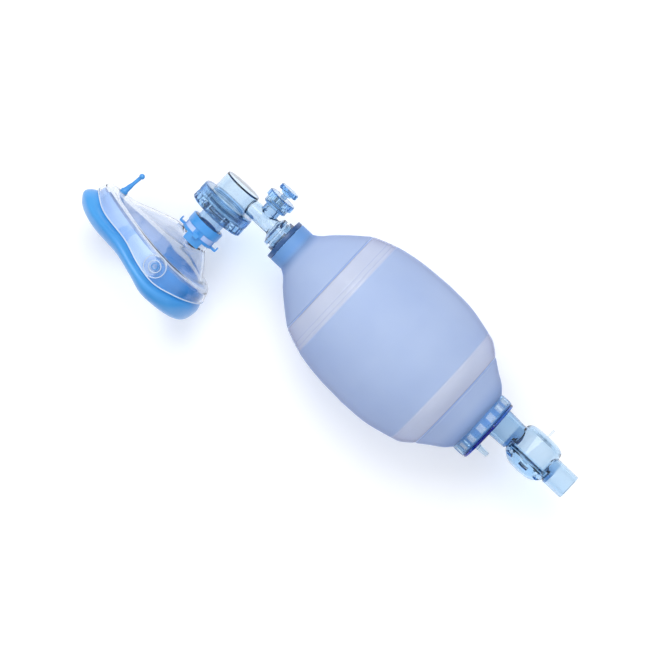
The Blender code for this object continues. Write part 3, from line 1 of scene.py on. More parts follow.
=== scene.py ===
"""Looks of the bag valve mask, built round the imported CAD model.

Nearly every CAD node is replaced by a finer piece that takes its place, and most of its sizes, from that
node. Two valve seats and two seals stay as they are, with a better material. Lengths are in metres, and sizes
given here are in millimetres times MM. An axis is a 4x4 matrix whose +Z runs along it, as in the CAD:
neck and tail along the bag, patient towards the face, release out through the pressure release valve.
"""

import json
import math

import bmesh
import bpy
from mathutils import Matrix, Vector


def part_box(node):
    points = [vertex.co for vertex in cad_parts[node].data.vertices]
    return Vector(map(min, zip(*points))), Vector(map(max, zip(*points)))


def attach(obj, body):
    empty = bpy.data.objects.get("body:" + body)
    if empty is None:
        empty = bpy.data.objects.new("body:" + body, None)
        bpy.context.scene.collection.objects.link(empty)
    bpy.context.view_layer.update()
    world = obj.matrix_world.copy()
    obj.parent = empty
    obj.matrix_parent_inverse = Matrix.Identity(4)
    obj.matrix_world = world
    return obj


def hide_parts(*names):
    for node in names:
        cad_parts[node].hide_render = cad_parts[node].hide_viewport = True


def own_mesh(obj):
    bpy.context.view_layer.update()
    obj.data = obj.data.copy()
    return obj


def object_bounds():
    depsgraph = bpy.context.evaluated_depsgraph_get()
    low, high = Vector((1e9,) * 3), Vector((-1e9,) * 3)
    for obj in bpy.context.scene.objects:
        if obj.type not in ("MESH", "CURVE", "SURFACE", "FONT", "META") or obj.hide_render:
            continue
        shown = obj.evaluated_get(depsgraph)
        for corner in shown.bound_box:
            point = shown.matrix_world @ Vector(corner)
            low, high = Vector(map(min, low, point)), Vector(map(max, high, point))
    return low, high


MM = 0.001
ROUND = 96
FINE = 160
SMOOTH_ANGLE = math.radians(32)
WELD = 1e-6

# The photograph's view: straight down, with the bag's axis turned in the picture.
CAMERA_TURN = math.radians(43.1)
CAMERA_HEIGHT = 2976 * MM
CAMERA_OFFSET = Vector((124.7, -27.7, 0)) * MM  # from the elbow's turning point to the middle of the picture
CAMERA_LENS = 200  # mm

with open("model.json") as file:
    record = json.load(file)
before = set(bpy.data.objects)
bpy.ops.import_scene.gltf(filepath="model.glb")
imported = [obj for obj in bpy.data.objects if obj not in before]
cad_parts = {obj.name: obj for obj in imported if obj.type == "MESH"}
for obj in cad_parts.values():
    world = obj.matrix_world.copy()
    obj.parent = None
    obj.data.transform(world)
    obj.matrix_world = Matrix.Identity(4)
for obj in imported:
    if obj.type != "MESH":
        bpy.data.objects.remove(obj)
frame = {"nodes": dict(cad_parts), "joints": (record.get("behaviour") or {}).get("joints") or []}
cad_low, cad_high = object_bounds()
joints = {joint["name"]: joint for joint in frame["joints"]}


# ---------------------------------------------------------------- places and sizes from the frame


def facing(origin, along, across):
    """The axis at origin with +Z along it and +X across it."""
    z = Vector(along).normalized()
    y = z.cross(Vector(across)).normalized()
    x = y.cross(z)
    return Matrix.Translation(origin) @ Matrix((x, y, z)).transposed().to_4x4()


class Size:
    """How far a CAD node reaches along and round an axis."""

    def __init__(self, node, axis):
        into = axis.inverted()
        points = [into @ vertex.co for vertex in frame["nodes"][node].data.vertices]
        radii = [math.hypot(point.x, point.y) for point in points]
        self.low = min(point.z for point in points)
        self.high = max(point.z for point in points)
        self.outer = max(radii)
        self.bore = min(radii)
        self.length = self.high - self.low


NECK_PLACE = Vector(joints["valve_swivel"]["pos_m"])
PATIENT_PLACE = Vector(joints["mask_swivel"]["pos_m"])
TO_FACE = Vector(joints["mask_swivel"]["axis"])
TO_RELEASE = Vector(joints["release_lift"]["axis"])
ALONG_BAG = Vector((1, 0, 0))
DOWN = Vector((0, 0, -1))


def middle_x(node):
    low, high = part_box(node)
    return (low.x + high.x) / 2


bag_low, bag_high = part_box("bag_shell")
clamp_low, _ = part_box("clamp_ring")
nipple_low, nipple_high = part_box("oxygen_nipple")

FIT_GAP = 0.3 * MM
BAG_RADIUS = (bag_high.z - bag_low.z) / 2
BAG_CENTRE = (bag_low + bag_high) / 2
tail_place = Vector((clamp_low.x - FIT_GAP, BAG_CENTRE.y, BAG_CENTRE.z))
nipple_place = Vector((tail_place.x, (nipple_low.y + nipple_high.y) / 2, (nipple_low.z + nipple_high.z) / 2))
TUBE_OFFSET = 11.0 * MM
tube_place = tail_place + Vector((0, TUBE_OFFSET, 0))
drum_place = Vector((middle_x("vent_seat"), tube_place.y, tube_place.z))

neck = facing(NECK_PLACE, ALONG_BAG, DOWN)
tail = facing(tail_place, ALONG_BAG, DOWN)
nipple = facing(nipple_place, ALONG_BAG, DOWN)
tube = facing(tube_place, ALONG_BAG, DOWN)
drum = facing(drum_place, (0, 1, 0), ALONG_BAG)
patient = facing(PATIENT_PLACE, TO_FACE, ALONG_BAG)
release_place = Vector((middle_x("release_cap"), PATIENT_PLACE.y, PATIENT_PLACE.z))
release = facing(release_place, TO_RELEASE, ALONG_BAG)
spigot = facing(NECK_PLACE, ALONG_BAG, patient.to_3x3().col[1] * -1)


# ---------------------------------------------------------------- mesh tools


def turns(count):
    return [2 * math.pi * i / count for i in range(count)]


def polar(radius, angle, height):
    return Vector((radius * math.cos(angle), radius * math.sin(angle), height))


def tool(name, mesh):
    """An object from a bmesh that is already in the row frame, such as a solid for a Boolean."""
    bmesh.ops.remove_doubles(mesh, verts=mesh.verts, dist=WELD)
    bmesh.ops.recalc_face_normals(mesh, faces=mesh.faces)
    data = bpy.data.meshes.new(name)
    mesh.to_mesh(data)
    mesh.free()
    thing = bpy.data.objects.new(name, data)
    bpy.context.scene.collection.objects.link(thing)
    return thing


def piece(name, mesh, material, body, sharp=SMOOTH_ANGLE):
    """A finished piece with its material, shaded smooth and attached to its body."""
    thing = tool(name, mesh)
    thing.data.materials.append(material)
    thing.data.shade_smooth()
    thing.data.set_sharp_from_angle(angle=sharp)
    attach(thing, body)
    return thing


def fine(node, mesh, material, body, name=None, sharp=SMOOTH_ANGLE):
    """A finished piece that stands for a CAD node."""
    thing = piece(name or node + "_fine", mesh, material, body, sharp=sharp)
    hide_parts(node)
    return thing


def rounded(outline, radius, steps=3):
    """Round every corner of a closed (radius, station) outline, as far as its sides leave room."""
    points = []
    count = len(outline)
    for i, (x, y) in enumerate(outline):
        corner = Vector((x, y))
        before = Vector(outline[i - 1]) - corner
        after = Vector(outline[(i + 1) % count]) - corner
        if x < WELD or before.length < WELD or after.length < WELD:
            points.append((x, y))
            continue
        reach = min(radius, before.length * 0.45, after.length * 0.45)
        start = corner + before.normalized() * reach
        end = corner + after.normalized() * reach
        for step in range(steps + 1):
            t = step / steps
            point = start * (1 - t) ** 2 + corner * 2 * t * (1 - t) + end * t * t
            points.append((point.x, point.y))
    return points


def spun(outline, axis, sides=ROUND, shape=None):
    """A bmesh spun from a closed outline. shape(angle, radius, station) may return another radius."""
    mesh = bmesh.new()
    rings = []
    for radius, station in outline:
        if radius < WELD:
            rings.append([mesh.verts.new(axis @ Vector((0, 0, station)))])
            continue
        ring = []
        for angle in turns(sides):
            r = shape(angle, radius, station) if shape else radius
            ring.append(mesh.verts.new(axis @ polar(r, angle, station)))
        rings.append(ring)
    for ring, following in zip(rings, rings[1:] + rings[:1]):
        bridge(mesh, ring, following)
    return mesh


def bridge(mesh, ring, following):
    """Faces between two rings, either of which may be a single point on the axis."""
    if len(ring) == 1 and len(following) == 1:
        return
    count = max(len(ring), len(following))
    for i in range(count):
        j = (i + 1) % count
        if len(ring) == 1:
            mesh.faces.new((ring[0], following[j], following[i]))
        elif len(following) == 1:
            mesh.faces.new((ring[i], ring[j], following[0]))
        else:
            mesh.faces.new((ring[i], ring[j], following[j], following[i]))


def lofted(rings, closed=False):
    """A bmesh through rings of points. The last ring meets the first, or both ends are capped."""
    mesh = bmesh.new()
    loops = [[mesh.verts.new(point) for point in ring] for ring in rings]
    if closed:
        loops.append(loops[0])
    else:
        mesh.faces.new(loops[0])
        mesh.faces.new(loops[-1])
    for ring, following in zip(loops, loops[1:]):
        bridge(mesh, ring, following)
    return mesh


def cylinder(name, axis, radius, low, high, sides=ROUND, middle=(0, 0)):
    moved = axis @ Matrix.Translation((middle[0], middle[1], 0))
    return tool(name, spun([(0, high), (radius, high), (radius, low), (0, low)], moved, sides))


def box_tool(name, matrix, size):
    mesh = bmesh.new()
    bmesh.ops.create_cube(mesh, size=1, matrix=matrix @ Matrix.Diagonal((*size, 1)))
    return tool(name, mesh)


def carved(base, unions=(), cuts=(), meets=(), sharp=SMOOTH_ANGLE):
    """Join unions to base, keep what meets share with it, take cuts away, and drop all those tools."""
    steps = [("UNION", other) for other in unions] + [("INTERSECT", other) for other in meets]
    steps += [("DIFFERENCE", other) for other in cuts]
    for operation, other in steps:
        modifier = base.modifiers.new("carve", "BOOLEAN")
        modifier.operation = operation
        modifier.object = other
    graph = bpy.context.evaluated_depsgraph_get()
    data = bpy.data.meshes.new_from_object(base.evaluated_get(graph))
    base.modifiers.clear()
    base.data = data
    for _, other in steps:
        bpy.data.objects.remove(other, do_unlink=True)
    if sharp:
        data.set_sharp_from_angle(angle=sharp)


def smooth_through(knots, place):
    """The value at place on a smooth curve through (place, value) knots."""
    places = [knot[0] for knot in knots]
    values = [knot[1] for knot in knots]
    last = len(knots) - 1
    slopes = []
    for i in range(len(knots)):
        before, after = max(i - 1, 0), min(i + 1, last)
        slopes.append((values[after] - values[before]) / (places[after] - places[before]))
    i = max(k for k in range(last) if places[k] <= place)
    span = places[i + 1] - places[i]
    t = (place - places[i]) / span
    ease = t * t * (3 - 2 * t)
    start = t * (1 - t) ** 2 * span * slopes[i]
    end = t * t * (t - 1) * span * slopes[i + 1]
    return values[i] * (1 - ease) + values[i + 1] * ease + start + end


def step_up(value, low, high):
    """0 below low, 1 above high and a smooth rise between."""
    t = min(1.0, max(0.0, (value - low) / (high - low)))
    return t * t * (3 - 2 * t)


def within(value, low, high, outwards, inwards):
    """1 from low to high, with smooth ends that reach so far outwards and inwards."""
    return step_up(value, low - outwards, low + inwards) * step_up(-value, -high - outwards, inwards - high)


def wave(angle, count, sharpness=1.0):
    """0 to 1, count times round a circle. A high sharpness makes it nearly square."""
    level = 0.5 + 0.5 * math.cos(count * angle)
    return step_up(level, 0.5 - 0.5 / sharpness, 0.5 + 0.5 / sharpness)


# ---------------------------------------------------------------- materials


class Look:
    """A material under construction: a Principled shader fed by nodes in the object's own coordinates."""

    def __init__(self, name):
        self.material = bpy.data.materials.new(name)
        self.material.use_nodes = True
        self.tree = self.material.node_tree
        self.shader = self.tree.nodes["Principled BSDF"]
        self.output = self.tree.nodes["Material Output"]
        self.place = self.node("ShaderNodeTexCoord").outputs["Object"]

    def node(self, kind, **settings):
        made = self.tree.nodes.new(kind)
        for key, value in settings.items():
            setattr(made, key, value)
        return made

    def link(self, source, target):
        self.tree.links.new(source, target)

    def set(self, **sockets):
        for key, value in sockets.items():
            self.shader.inputs[key.replace("_", " ")].default_value = value
        return self

    def noise(self, scale, detail=3.0, roughness=0.55, stretch=None):
        """Noise with scale in cycles per metre."""
        made = self.node("ShaderNodeTexNoise")
        made.inputs["Scale"].default_value = scale
        made.inputs["Detail"].default_value = detail
        made.inputs["Roughness"].default_value = roughness
        source = self.place
        if stretch:
            mapping = self.node("ShaderNodeMapping")
            mapping.inputs["Scale"].default_value = stretch
            self.link(source, mapping.inputs["Vector"])
            source = mapping.outputs["Vector"]
        self.link(source, made.inputs["Vector"])
        return made.outputs["Fac"]

    def ranged(self, source, low, high, to_low, to_high, smooth=False):
        made = self.node("ShaderNodeMapRange")
        made.interpolation_type = "SMOOTHSTEP" if smooth else "LINEAR"
        for key, value in (("From Min", low), ("From Max", high), ("To Min", to_low), ("To Max", to_high)):
            made.inputs[key].default_value = value
        self.link(source, made.inputs["Value"])
        return made.outputs["Result"]

    def grain(self, scale, low, high):
        """A slow or fine variation between low and high."""
        return self.ranged(self.noise(scale), 0.3, 0.7, low, high)

    def maths(self, operation, first, second):
        made = self.node("ShaderNodeMath", operation=operation)
        for socket, value in zip(made.inputs, (first, second)):
            if isinstance(value, (int, float)):
                socket.default_value = value
            else:
                self.link(value, socket)
        return made.outputs[0]

    def round_axis(self, centre_y, centre_z, count):
        """A wave, count times round an axis along X through that centre."""
        y = self.maths("SUBTRACT", self.along("Y"), centre_y)
        z = self.maths("SUBTRACT", self.along("Z"), centre_z)
        return self.maths("COSINE", self.maths("MULTIPLY", self.maths("ARCTAN2", z, y), count), 0)

    def blended(self, share, first, second):
        """Mix two colours, each a socket or three numbers."""
        made = self.node("ShaderNodeMix", data_type="RGBA")
        self.link(share, made.inputs["Factor"])
        for key, value in ((6, first), (7, second)):
            if isinstance(value, tuple):
                made.inputs[key].default_value = (*value, 1)
            else:
                self.link(value, made.inputs[key])
        return made.outputs[2]

    def along(self, axis):
        """One coordinate of the point, in metres in the row frame."""
        made = self.node("ShaderNodeSeparateXYZ")
        self.link(self.place, made.inputs[0])
        return made.outputs[axis]

    def band(self, source, low, high, edge):
        """1 between low and high, with soft edges."""
        rise = self.ranged(source, low - edge, low + edge, 0, 1, True)
        fall = self.ranged(source, high - edge, high + edge, 1, 0, True)
        return self.maths("MULTIPLY", rise, fall)

    def colour(self, source):
        self.link(source, self.shader.inputs["Base Color"])

    def roughness(self, source):
        self.link(source, self.shader.inputs["Roughness"])

    def bump(self, source, depth, strength=1.0):
        made = self.node("ShaderNodeBump")
        made.inputs["Strength"].default_value = strength
        made.inputs["Distance"].default_value = depth
        self.link(source, made.inputs["Height"])
        self.link(made.outputs["Normal"], self.shader.inputs["Normal"])

    def absorb(self, colour, density):
        """Colour that deepens with the length of the way through the wall."""
        made = self.node("ShaderNodeVolumeAbsorption")
        made.inputs["Color"].default_value = (*colour, 1)
        made.inputs["Density"].default_value = density
        self.link(made.outputs[0], self.output.inputs["Volume"])

    def pass_lamps(self, tint):
        """Let lamps shine through, so that clear pieces cast pale shadows."""
        path = self.node("ShaderNodeLightPath")
        clear = self.node("ShaderNodeBsdfTransparent")
        clear.inputs["Color"].default_value = (*tint, 1)
        mixed = self.node("ShaderNodeMixShader")
        self.link(path.outputs["Is Shadow Ray"], mixed.inputs[0])
        self.link(self.shader.outputs[0], mixed.inputs[1])
        self.link(clear.outputs[0], mixed.inputs[2])
        self.link(mixed.outputs[0], self.output.inputs["Surface"])


def clear_plastic(name, tint, density, shadow, roughness=0.03, ior=1.5):
    """Moulded clear plastic: faint flow waves in the surface, and a tint that shows in long ways through."""
    look = Look(name)
    look.set(Base_Color=tuple(0.4 + 0.6 * part for part in shadow) + (1,), Transmission_Weight=1.0, IOR=ior)
    look.roughness(look.grain(180, roughness, roughness + 0.05))
    look.bump(look.noise(90, 2), 0.12 * MM, 0.35)
    look.absorb(tint, density)
    look.pass_lamps(shadow)
    return look.material


def solid_plastic(name, pale, deep, roughness, grain=900, grain_depth=0.02 * MM, **sockets):
    """Opaque plastic or rubber: two close colours in a slow pattern, and a fine moulded grain."""
    look = Look(name)
    look.set(**sockets)
    look.colour(look.blended(look.ranged(look.noise(45), 0.35, 0.65, 0, 1), pale, deep))
    look.roughness(look.grain(240, roughness - 0.05, roughness + 0.07))
    look.bump(look.noise(grain, 4), grain_depth, 0.5)
    return look.material


# The bag's moulded bands, by x in the row frame, measured from its neck.
GROOVES = (NECK_PLACE.x + 47.9 * MM, NECK_PLACE.x + 185.9 * MM)
BAND_ONE = (GROOVES[0], NECK_PLACE.x + 67.4 * MM)
BAND_TWO = (NECK_PLACE.x + 169.0 * MM, GROOVES[1])
BAND_STEPS = tuple(NECK_PLACE.x + step * MM for step in (60.5, 64.4, 67.4, 169.0))
CLAMP_WINDOWS = 15
CLAMP_WINDOW_DEPTH = 1.3 * MM
CLAMP_WINDOW_MARGIN = 1.9 * MM


def frosted_bag():
    """Milky blue silicone with a fine frost, two glossy bands, grooves beside them darkened with painted
    shade, painted shade at the fine band steps, and a deeper neck.
    """
    look = Look("frosted_silicone_look")
    x = look.along("X")
    bands = look.maths("ADD", look.band(x, *BAND_ONE, 0.8 * MM), look.band(x, *BAND_TWO, 1.2 * MM))
    # Painted shade: the grooves are coloured deep blue and the fine band steps a darker blue, for the shade
    # that falls in their dips.
    grooves = look.maths("ADD", *[look.band(x, g - 0.6 * MM, g + 0.6 * MM, 0.5 * MM) for g in GROOVES])
    painted_step_shade = look.maths("ADD", *[look.band(x, g - 0.2 * MM, g + 0.2 * MM, 0.4 * MM) for g in BAND_STEPS[:2]])
    neck_end = NECK_PLACE.x + 11 * MM
    at_neck = look.ranged(x, neck_end - 4 * MM, neck_end + 9 * MM, 1, 0, True)
    at_mouth = look.ranged(x, tail_place.x - 14 * MM, tail_place.x, 0, 0.5, True)
    cloud = look.ranged(look.noise(14, 3), 0.3, 0.7, 0, 1)
    body = look.blended(cloud, (0.58, 0.71, 0.94), (0.66, 0.78, 0.97))
    body = look.blended(look.maths("MAXIMUM", at_neck, at_mouth), body, (0.17, 0.38, 0.76))
    body = look.blended(bands, body, (0.93, 0.95, 1.0))
    # Mix in the painted shade of the band steps, then of the grooves.
    body = look.blended(look.maths("MULTIPLY", painted_step_shade, 0.5), body, (0.5, 0.62, 0.85))
    look.colour(look.blended(look.maths("MULTIPLY", grooves, 0.8), body, (0.12, 0.24, 0.58)))
    frost = look.ranged(look.noise(1500, 2), 0.3, 0.7, 0.42, 0.6)
    gloss = look.maths("MULTIPLY", bands, 0.38)
    look.roughness(look.maths("SUBTRACT", frost, gloss))
    flow = look.maths("ADD", look.noise(2200, 2), look.maths("MULTIPLY", look.noise(60, 2), 0.8))
    look.bump(flow, 0.06 * MM, 0.4)
    clear = look.ranged(bands, 0, 1, 0.5, 0.4)
    solid = look.maths("MAXIMUM", look.maths("MULTIPLY", at_neck, 0.75), grooves)
    look.link(look.maths("MAXIMUM", clear, solid), look.shader.inputs["Alpha"])
    look.absorb((0.12, 0.32, 0.72), 130)
    return look.material


def cushion_vinyl(name, pale, deep, alpha, chin=None):
    """Soft blue vinyl film, turning to the chin colour, if given, in a ragged line at the mask's middle."""
    look = Look(name)
    look.set(Coat_Weight=0.25, Coat_Roughness=0.15, Alpha=alpha)
    patch = look.ranged(look.noise(30, 2), 0.35, 0.65, 0, 1)
    colour = look.blended(patch, pale, deep)
    if chin:
        ragged = look.maths("MULTIPLY", look.maths("SUBTRACT", look.noise(45, 2), 0.5), 60 * MM)
        place = look.maths("ADD", look.along("X"), ragged)
        split = PATIENT_PLACE.x
        colour = look.blended(look.ranged(place, split - 12 * MM, split - 6 * MM, 0, 1, True), colour, chin)
        # Painted shade: a band darkened towards the chin colour, for the shade in a crease of the vinyl.
        painted_crease_shade = look.band(place, split - 46 * MM, split - 41 * MM, 2 * MM)
        colour = look.blended(look.maths("MULTIPLY", painted_crease_shade, 0.4), colour, chin)
    look.colour(colour)
    look.roughness(look.grain(200, 0.28, 0.42))
    look.bump(look.noise(700, 4), 0.03 * MM, 0.4)
    return look.material


def windowed_ring():
    """The clamp ring: blue translucent plastic that is paler in its windows, with a dark rear edge."""
    look = Look("clamp_ring_look")
    size = Size("clamp_ring", tail)
    low, high = tail_place.x + size.low + CLAMP_WINDOW_MARGIN, tail_place.x + size.high - CLAMP_WINDOW_MARGIN
    x = look.along("X")
    ripple = look.round_axis(tail_place.y, tail_place.z, CLAMP_WINDOWS)
    round_ring = look.ranged(ripple, -0.15, 0.15, 0, 1, True)
    windows = look.maths("MULTIPLY", round_ring, look.band(x, low, high, 0.3 * MM))
    body = look.blended(look.noise(60), (0.3, 0.56, 0.86), (0.36, 0.62, 0.9))
    body = look.blended(windows, body, (0.82, 0.92, 1.0))
    rear = look.ranged(x, high + 0.6 * MM, high + 1.2 * MM, 0, 0.85, True)
    look.colour(look.blended(rear, body, (0.05, 0.16, 0.45)))
    look.set(Transmission_Weight=0.75, IOR=1.35)
    look.roughness(look.grain(180, 0.08, 0.14))
    look.bump(look.noise(90, 2), 0.1 * MM, 0.3)
    look.pass_lamps((0.7, 0.84, 0.97))
    return look.material


def steel_wire():
    look = Look("spring_wire_look")
    look.set(Metallic=1.0)
    drawn = look.noise(1200, 3, 0.6, (1, 1, 8))
    look.colour(look.blended(drawn, (0.62, 0.63, 0.65), (0.8, 0.81, 0.83)))
    look.roughness(look.ranged(drawn, 0.3, 0.7, 0.18, 0.34))
    return look.material


CLEAR = clear_plastic("clear_plastic_look", (0.22, 0.52, 0.76), 160, (0.85, 0.93, 0.97), ior=1.47)
VALVE_CLEAR = clear_plastic("valve_plastic_look", (0.2, 0.5, 0.76), 150, (0.9, 0.96, 0.98), ior=1.47)
MASK_CLEAR = clear_plastic("mask_plastic_look", (0.5, 0.54, 0.66), 50, (0.96, 0.98, 1.0), 0.04, 1.42)
TINTED = clear_plastic("tinted_plastic_look", (0.14, 0.56, 0.9), 115, (0.74, 0.9, 0.98), 0.05, 1.4)
TAIL_TINTED = clear_plastic("tail_plastic_look", (0.1, 0.42, 0.86), 150, (0.62, 0.82, 0.96), 0.06, 1.4)
WINDOWED = windowed_ring()
FROSTED = frosted_bag()
VINYL = cushion_vinyl("cushion_vinyl_look", (0.045, 0.29, 0.7), (0.065, 0.34, 0.76), 1.0)
VINYL_UNDER_SKIRT = cushion_vinyl(
    "cushion_side_look", (0.4, 0.57, 0.9), (0.45, 0.62, 0.93), 0.9, (0.05, 0.28, 0.7)
)
VINYL_CROWN = cushion_vinyl("cushion_crown_look", (0.62, 0.76, 0.95), (0.66, 0.79, 0.96), 0.06)
BLUE = solid_plastic("blue_plastic_look", (0.045, 0.28, 0.7), (0.065, 0.33, 0.76), 0.3, Coat_Weight=0.2)
NAVY = solid_plastic("navy_plastic_look", (0.02, 0.07, 0.2), (0.03, 0.1, 0.28), 0.28)
SILICONE = solid_plastic("valve_silicone_look", (0.62, 0.76, 0.9), (0.7, 0.82, 0.93), 0.45, Alpha=0.25)
SEAL = solid_plastic("seal_rubber_look", (0.36, 0.46, 0.6), (0.43, 0.53, 0.66), 0.5, Alpha=0.6)
# Painted highlight: clear plastic coloured near white, as its rolled edges and ridges look where they catch
# the light.
PAINTED_SEAM_HIGHLIGHT = solid_plastic("seam_painted_highlight_look", (0.72, 0.84, 0.98), (0.8, 0.9, 1.0), 0.18, Alpha=0.75)
PANE = solid_plastic("ring_pane_look", (0.4, 0.55, 0.88), (0.46, 0.6, 0.91), 0.25)
STEEL = steel_wire()
SLOTS = {material.name: "clear_polycarbonate" for material in (CLEAR, VALVE_CLEAR, MASK_CLEAR, PAINTED_SEAM_HIGHLIGHT)}
SLOTS.update({material.name: "tinted_polycarbonate" for material in (TINTED, TAIL_TINTED, WINDOWED)})
SLOTS.update({material.name: "blue_vinyl" for material in (VINYL, BLUE, PANE)})
SLOTS.update({FROSTED.name: "frosted_silicone", NAVY.name: "navy_plastic", STEEL.name: "spring_steel"})
SLOTS.update({SILICONE.name: "valve_silicone", SEAL.name: "seal_rubber"})


# ---------------------------------------------------------------- bag

BAG_FRONT_LENGTH = 109.0 * MM
BAG_REAR_LENGTH = 89.6 * MM
BAG_WALL = 2.4 * MM
BAG_NECK_RADIUS = 18.8 * MM
BAG_SHOULDER_RADIUS = 29.4 * MM
BAG_MOUTH_RADIUS = 26.4 * MM
FRONT_SHAPE = [(0, 0), (0.047, 0.077), (0.113, 0.248), (0.202, 0.443), (0.335, 0.706)]
FRONT_DOME = [(0.335, 0.706), (0.513, 0.864), (0.735, 0.961), (1, 1)]
REAR_DOME = [(0, 1), (0.271, 0.967), (0.515, 0.828), (0.622, 0.744), (0.73, 0.53)]
REAR_SHAPE = [(0.73, 0.53), (0.838, 0.331), (0.946, 0.145), (1, 0)]
GROOVE_DEPTH = 0.7 * MM
GROOVE_WIDTH = 0.9 * MM
BAND_STEP = 0.25 * MM


def bag_curve(shape, end_radius, length, start, steps=22):
    low, high = shape[0][0], shape[-1][0]
    shares = [low + (high - low) * i / steps for i in range(steps + 1)]
    rise = BAG_RADIUS - end_radius
    return [(start + share * length, end_radius + smooth_through(shape, share) * rise) for share in shares]


def bag_side():
    """(station along the neck axis, radius) from the neck's mouth to the rear mouth."""
    widest = tail_place.x - BAG_REAR_LENGTH - NECK_PLACE.x
    front = widest - BAG_FRONT_LENGTH
    stretches = [
        bag_curve(FRONT_SHAPE, BAG_NECK_RADIUS, BAG_FRONT_LENGTH, front),
        bag_curve(FRONT_DOME, BAG_NECK_RADIUS, BAG_FRONT_LENGTH, front, 44),
        bag_curve(REAR_DOME, BAG_SHOULDER_RADIUS, BAG_REAR_LENGTH, widest, 44),
        bag_curve(REAR_SHAPE, BAG_SHOULDER_RADIUS, BAG_REAR_LENGTH, widest),
    ]
    points = [(0, BAG_NECK_RADIUS)]
    for stretch in stretches:
        points += stretch if stretch is stretches[0] else stretch[1:]
    return points


def moulded(station, radius):
    """The radius with the grooves at the folds and the fine steps beside the front band."""
    x = NECK_PLACE.x + station
    for groove_x in GROOVES:
        radius -= GROOVE_DEPTH * math.exp(-(((x - groove_x) / GROOVE_WIDTH) ** 2))
    for step_x in BAND_STEPS:
        radius -= BAND_STEP * math.exp(-(((x - step_x) / (0.7 * MM)) ** 2))
    return radius


def build_bag():
    side = bag_side()
    dense = []
    for (s0, r0), (s1, r1) in zip(side, side[1:]):
        pieces = max(1, round((s1 - s0) / (0.5 * MM)))
        dense += [(s0 + (s1 - s0) * i / pieces, r0 + (r1 - r0) * i / pieces) for i in range(pieces)]
    dense.append(side[-1])
    end = bag_high.x - NECK_PLACE.x
    outer = [(moulded(s, r), s) for s, r in dense]
    inner = [(r - BAG_WALL, s) for s, r in side if s < side[-1][0] - 3 * MM]
    mouth_bore = BAG_MOUTH_RADIUS - BAG_WALL
    inner += [(max(mouth_bore, inner[-1][0] - MM), side[-1][0] - BAG_WALL), (mouth_bore, side[-1][0])]
    outline = outer + [(BAG_MOUTH_RADIUS, side[-1][0]), (BAG_MOUTH_RADIUS, end), (mouth_bore, end)]
    outline += inner[::-1]
    fine("bag_shell", spun(outline, neck, FINE), FROSTED, "bag", "bag_skin")


def ring_piece(node, axis, material, body, fillet):
    """A plain ring with rounded edges in a CAD ring's place."""
    size = Size(node, axis)
    outline = [(size.bore, size.low), (size.outer, size.low), (size.outer, size.high), (size.bore, size.high)]
    fine(node, spun(rounded(outline, fillet), axis), material, body)


def stem_piece(node, axis, thickness, stem, fillet, material, body):
    """A disc with a stem, in a CAD node's place. Returns the height of the disc's top."""
    size = Size(node, axis)
    disc_top = size.low + thickness
    outline = [(0, size.low), (size.outer, size.low), (size.outer, disc_top), (stem, disc_top)]
    outline += [(stem, size.high), (0, size.high)]
    fine(node, spun(rounded(outline, fillet), axis, 64), material, body)
    return disc_top


def build_neck():
    ring_piece("neck_ring", neck, NAVY, "bag", 0.8 * MM)
    size = Size("swivel_socket", neck)
    collar_low, collar_high = size.low, Size("neck_ring", neck).low - FIT_GAP
    tube_radius = size.outer
    collar_radius = 13.5 * MM
    wide_bore = 13.8 * MM
    outline = [
        (size.bore, collar_low), (collar_radius, collar_low), (collar_radius, collar_high),
        (tube_radius, collar_high), (tube_radius, size.high), (wide_bore, size.high), (wide_bore, 6.5 * MM),
        (size.bore, 6.0 * MM),
    ]
    fine("swivel_socket", spun(rounded(outline, 0.4 * MM), neck), VALVE_CLEAR, "bag")


# ---------------------------------------------------------------- tail


def build_clamp_ring():
    size = Size("clamp_ring", tail)
    low, high = size.low + CLAMP_WINDOW_MARGIN, size.high - CLAMP_WINDOW_MARGIN

    def windowed(angle, radius, station):
        if radius < size.outer - 0.5 * MM:
            return radius
        across = wave(angle, CLAMP_WINDOWS, 6)
        return radius - CLAMP_WINDOW_DEPTH * across * within(station, low, high, 0.2 * MM, 0.3 * MM)

    side = [size.low + size.length * i / 24 for i in range(25)]
    outline = [(size.bore, size.low)] + [(size.outer, station) for station in side] + [(size.bore, size.high)]
    fine("clamp_ring", spun(outline, tail, CLAMP_WINDOWS * 14, windowed), WINDOWED, "bag")


def build_tail_plate():
    size = Size("tail_plate", tail)
    plate_high, plate_low = size.high, size.high - 2.4 * MM
    spigot_radius, spigot_bore = 23.7 * MM, 22.4 * MM
    outline = [
        (0, plate_low), (spigot_bore, plate_low), (spigot_bore, size.low), (spigot_radius, size.low),
        (spigot_radius, plate_low), (size.outer, plate_low), (size.outer, plate_high), (0, plate_high),
    ]
    plate = fine("tail_plate", spun(rounded(outline, 0.7 * MM), tail), TAIL_TINTED, "bag")
    through = (plate_low - MM, plate_high + MM)
    tube_hole = cylinder("tube_hole", tube, 11.1 * MM, *through)
    nipple_hole = cylinder("nipple_hole", nipple, 2.4 * MM, *through)
    carved(plate, cuts=[tube_hole, nipple_hole])


def build_nipple():
    size = Size("oxygen_nipple", nipple)
    shoulder = Size("tail_plate", tail).high + FIT_GAP
    root = size.low + 1.5 * MM
    outline = [
        (size.bore, size.low), (size.outer, size.low), (size.outer, root), (2.1 * MM, root),
        (2.1 * MM, shoulder), (2.95 * MM, shoulder), (2.75 * MM, shoulder + 2 * MM),
        (2.5 * MM, shoulder + 2.3 * MM), (2.1 * MM, size.high), (size.bore, size.high),
    ]
    fine("oxygen_nipple", spun(rounded(outline, 0.35 * MM), nipple, 64), CLEAR, "bag")


